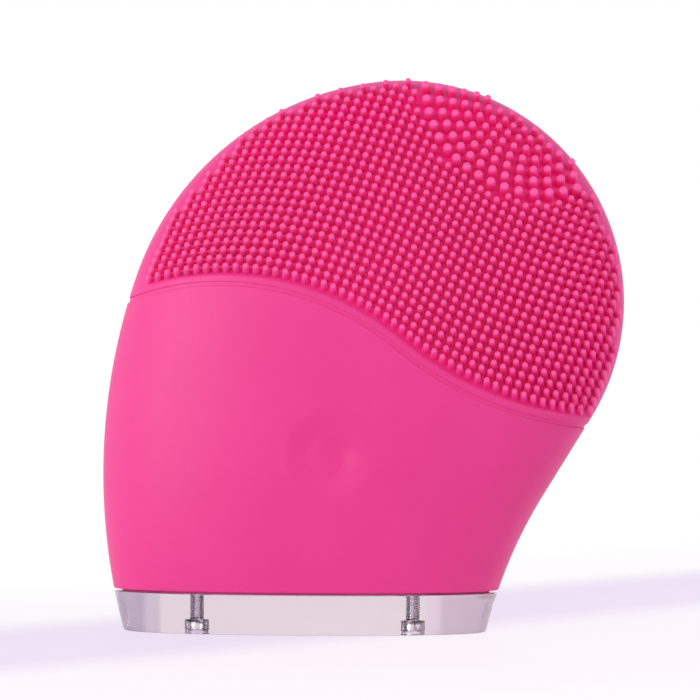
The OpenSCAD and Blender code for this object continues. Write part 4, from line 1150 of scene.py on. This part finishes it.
EYE_Z = 44.0 * MM
EYE_ROLL = -0.35


def showing_rays(tree):
    """1 for rays that show the background: straight from the camera, through glass or off gloss."""
    path = add_node(tree, "LightPath").outputs
    showing = path["Is Camera Ray"]
    for kind in ("Is Transmission Ray", "Is Glossy Ray"):
        showing = calc(tree, "MAXIMUM", showing, path[kind])
    return showing


def make_floor():
    """A pale floor with a lilac band of painted shadow across it, which takes a faint real shadow round the
    object.
    """
    mesh = bpy.data.meshes.new("floor")
    ring = level_ring(0.0, FLOOR_R, FLOOR_Z, turns(FLOOR_SIDES))
    mesh.from_pydata(ring.tolist(), [], [list(range(FLOOR_SIDES))])
    material = bpy.data.materials.new("floor")
    material.use_nodes = True
    tree = material.node_tree
    shader = tree.nodes["Principled BSDF"]
    grain = add_node(tree, "TexNoise", {"Scale": FLOOR_GRAIN}).outputs["Fac"]
    feed(tree, shader.inputs["Base Color"], ramp(tree, grain, FLOOR_TINTS))
    feed(tree, shader.inputs["Roughness"], FLOOR_ROUGH)
    place = object_place(tree)
    length = calc(tree, "LENGTH", place, kind="VectorMath")
    fade = remap(tree, length, SHADOW_REACH, SHADOW_GLOW, "SMOOTHSTEP")
    seen = calc(tree, "MULTIPLY", fade, showing_rays(tree))
    ahead = calc(tree, "DOT_PRODUCT", place, FLOOR_AHEAD, kind="VectorMath")
    spread = remap(tree, ahead, (FLOOR_FAR * MM, FLOOR_NEAR * MM))
    # The floor's emission shows the painted shadow band
    glow = add_node(tree, "Emission", {"Color": ramp(tree, spread, PAINTED_SHADOW_BAND, "EASE")})
    mix_shaders(tree, seen, shader.outputs["BSDF"], glow.outputs["Emission"], "Material Output")
    mesh.materials.append(material)
    floor = bpy.data.objects.new("floor", mesh)
    bpy.context.scene.collection.objects.link(floor)


def make_world():
    """White to look at, and a soft fill light on the object."""
    world = bpy.data.worlds.new("studio")
    world.use_nodes = True
    tree = world.node_tree
    fill = tree.nodes["Background"]
    feed(tree, fill.inputs["Color"], opaque(WORLD_TINT))
    feed(tree, fill.inputs["Strength"], WORLD_POWER)
    seen = add_node(tree, "Background", {"Color": opaque(WHITE)})
    shown = showing_rays(tree)
    mix_shaders(tree, shown, fill.outputs["Background"], seen.outputs["Background"], "World Output")
    bpy.context.scene.world = world


def make_lamp(name, place, size, power):
    """A round soft lamp that faces the object."""
    data = bpy.data.lights.new(name, "AREA")
    data.shape = "DISK"
    data.size = size
    data.energy = power
    lamp = bpy.data.objects.new(name, data)
    lamp.location = place
    lamp.rotation_euler = (Vector(TARGET) - Vector(place)).to_track_quat("-Z", "Y").to_euler()
    bpy.context.scene.collection.objects.link(lamp)


make_floor()
make_world()
for lamp in LAMPS:
    make_lamp(*lamp)

camera = bpy.data.cameras.new("camera")
camera.sensor_width = 36.0
camera.lens = camera.sensor_width * VIEW_DISTANCE / VIEW_W
camera.clip_start = 0.01
eye = bpy.data.objects.new("camera", camera)
eye.location = (EYE_X, -VIEW_DISTANCE, EYE_Z)
eye.rotation_euler = (math.radians(90), math.radians(EYE_ROLL), 0)
bpy.context.scene.collection.objects.link(eye)
bpy.context.scene.camera = eye
bpy.context.scene.view_settings.view_transform = "Standard"
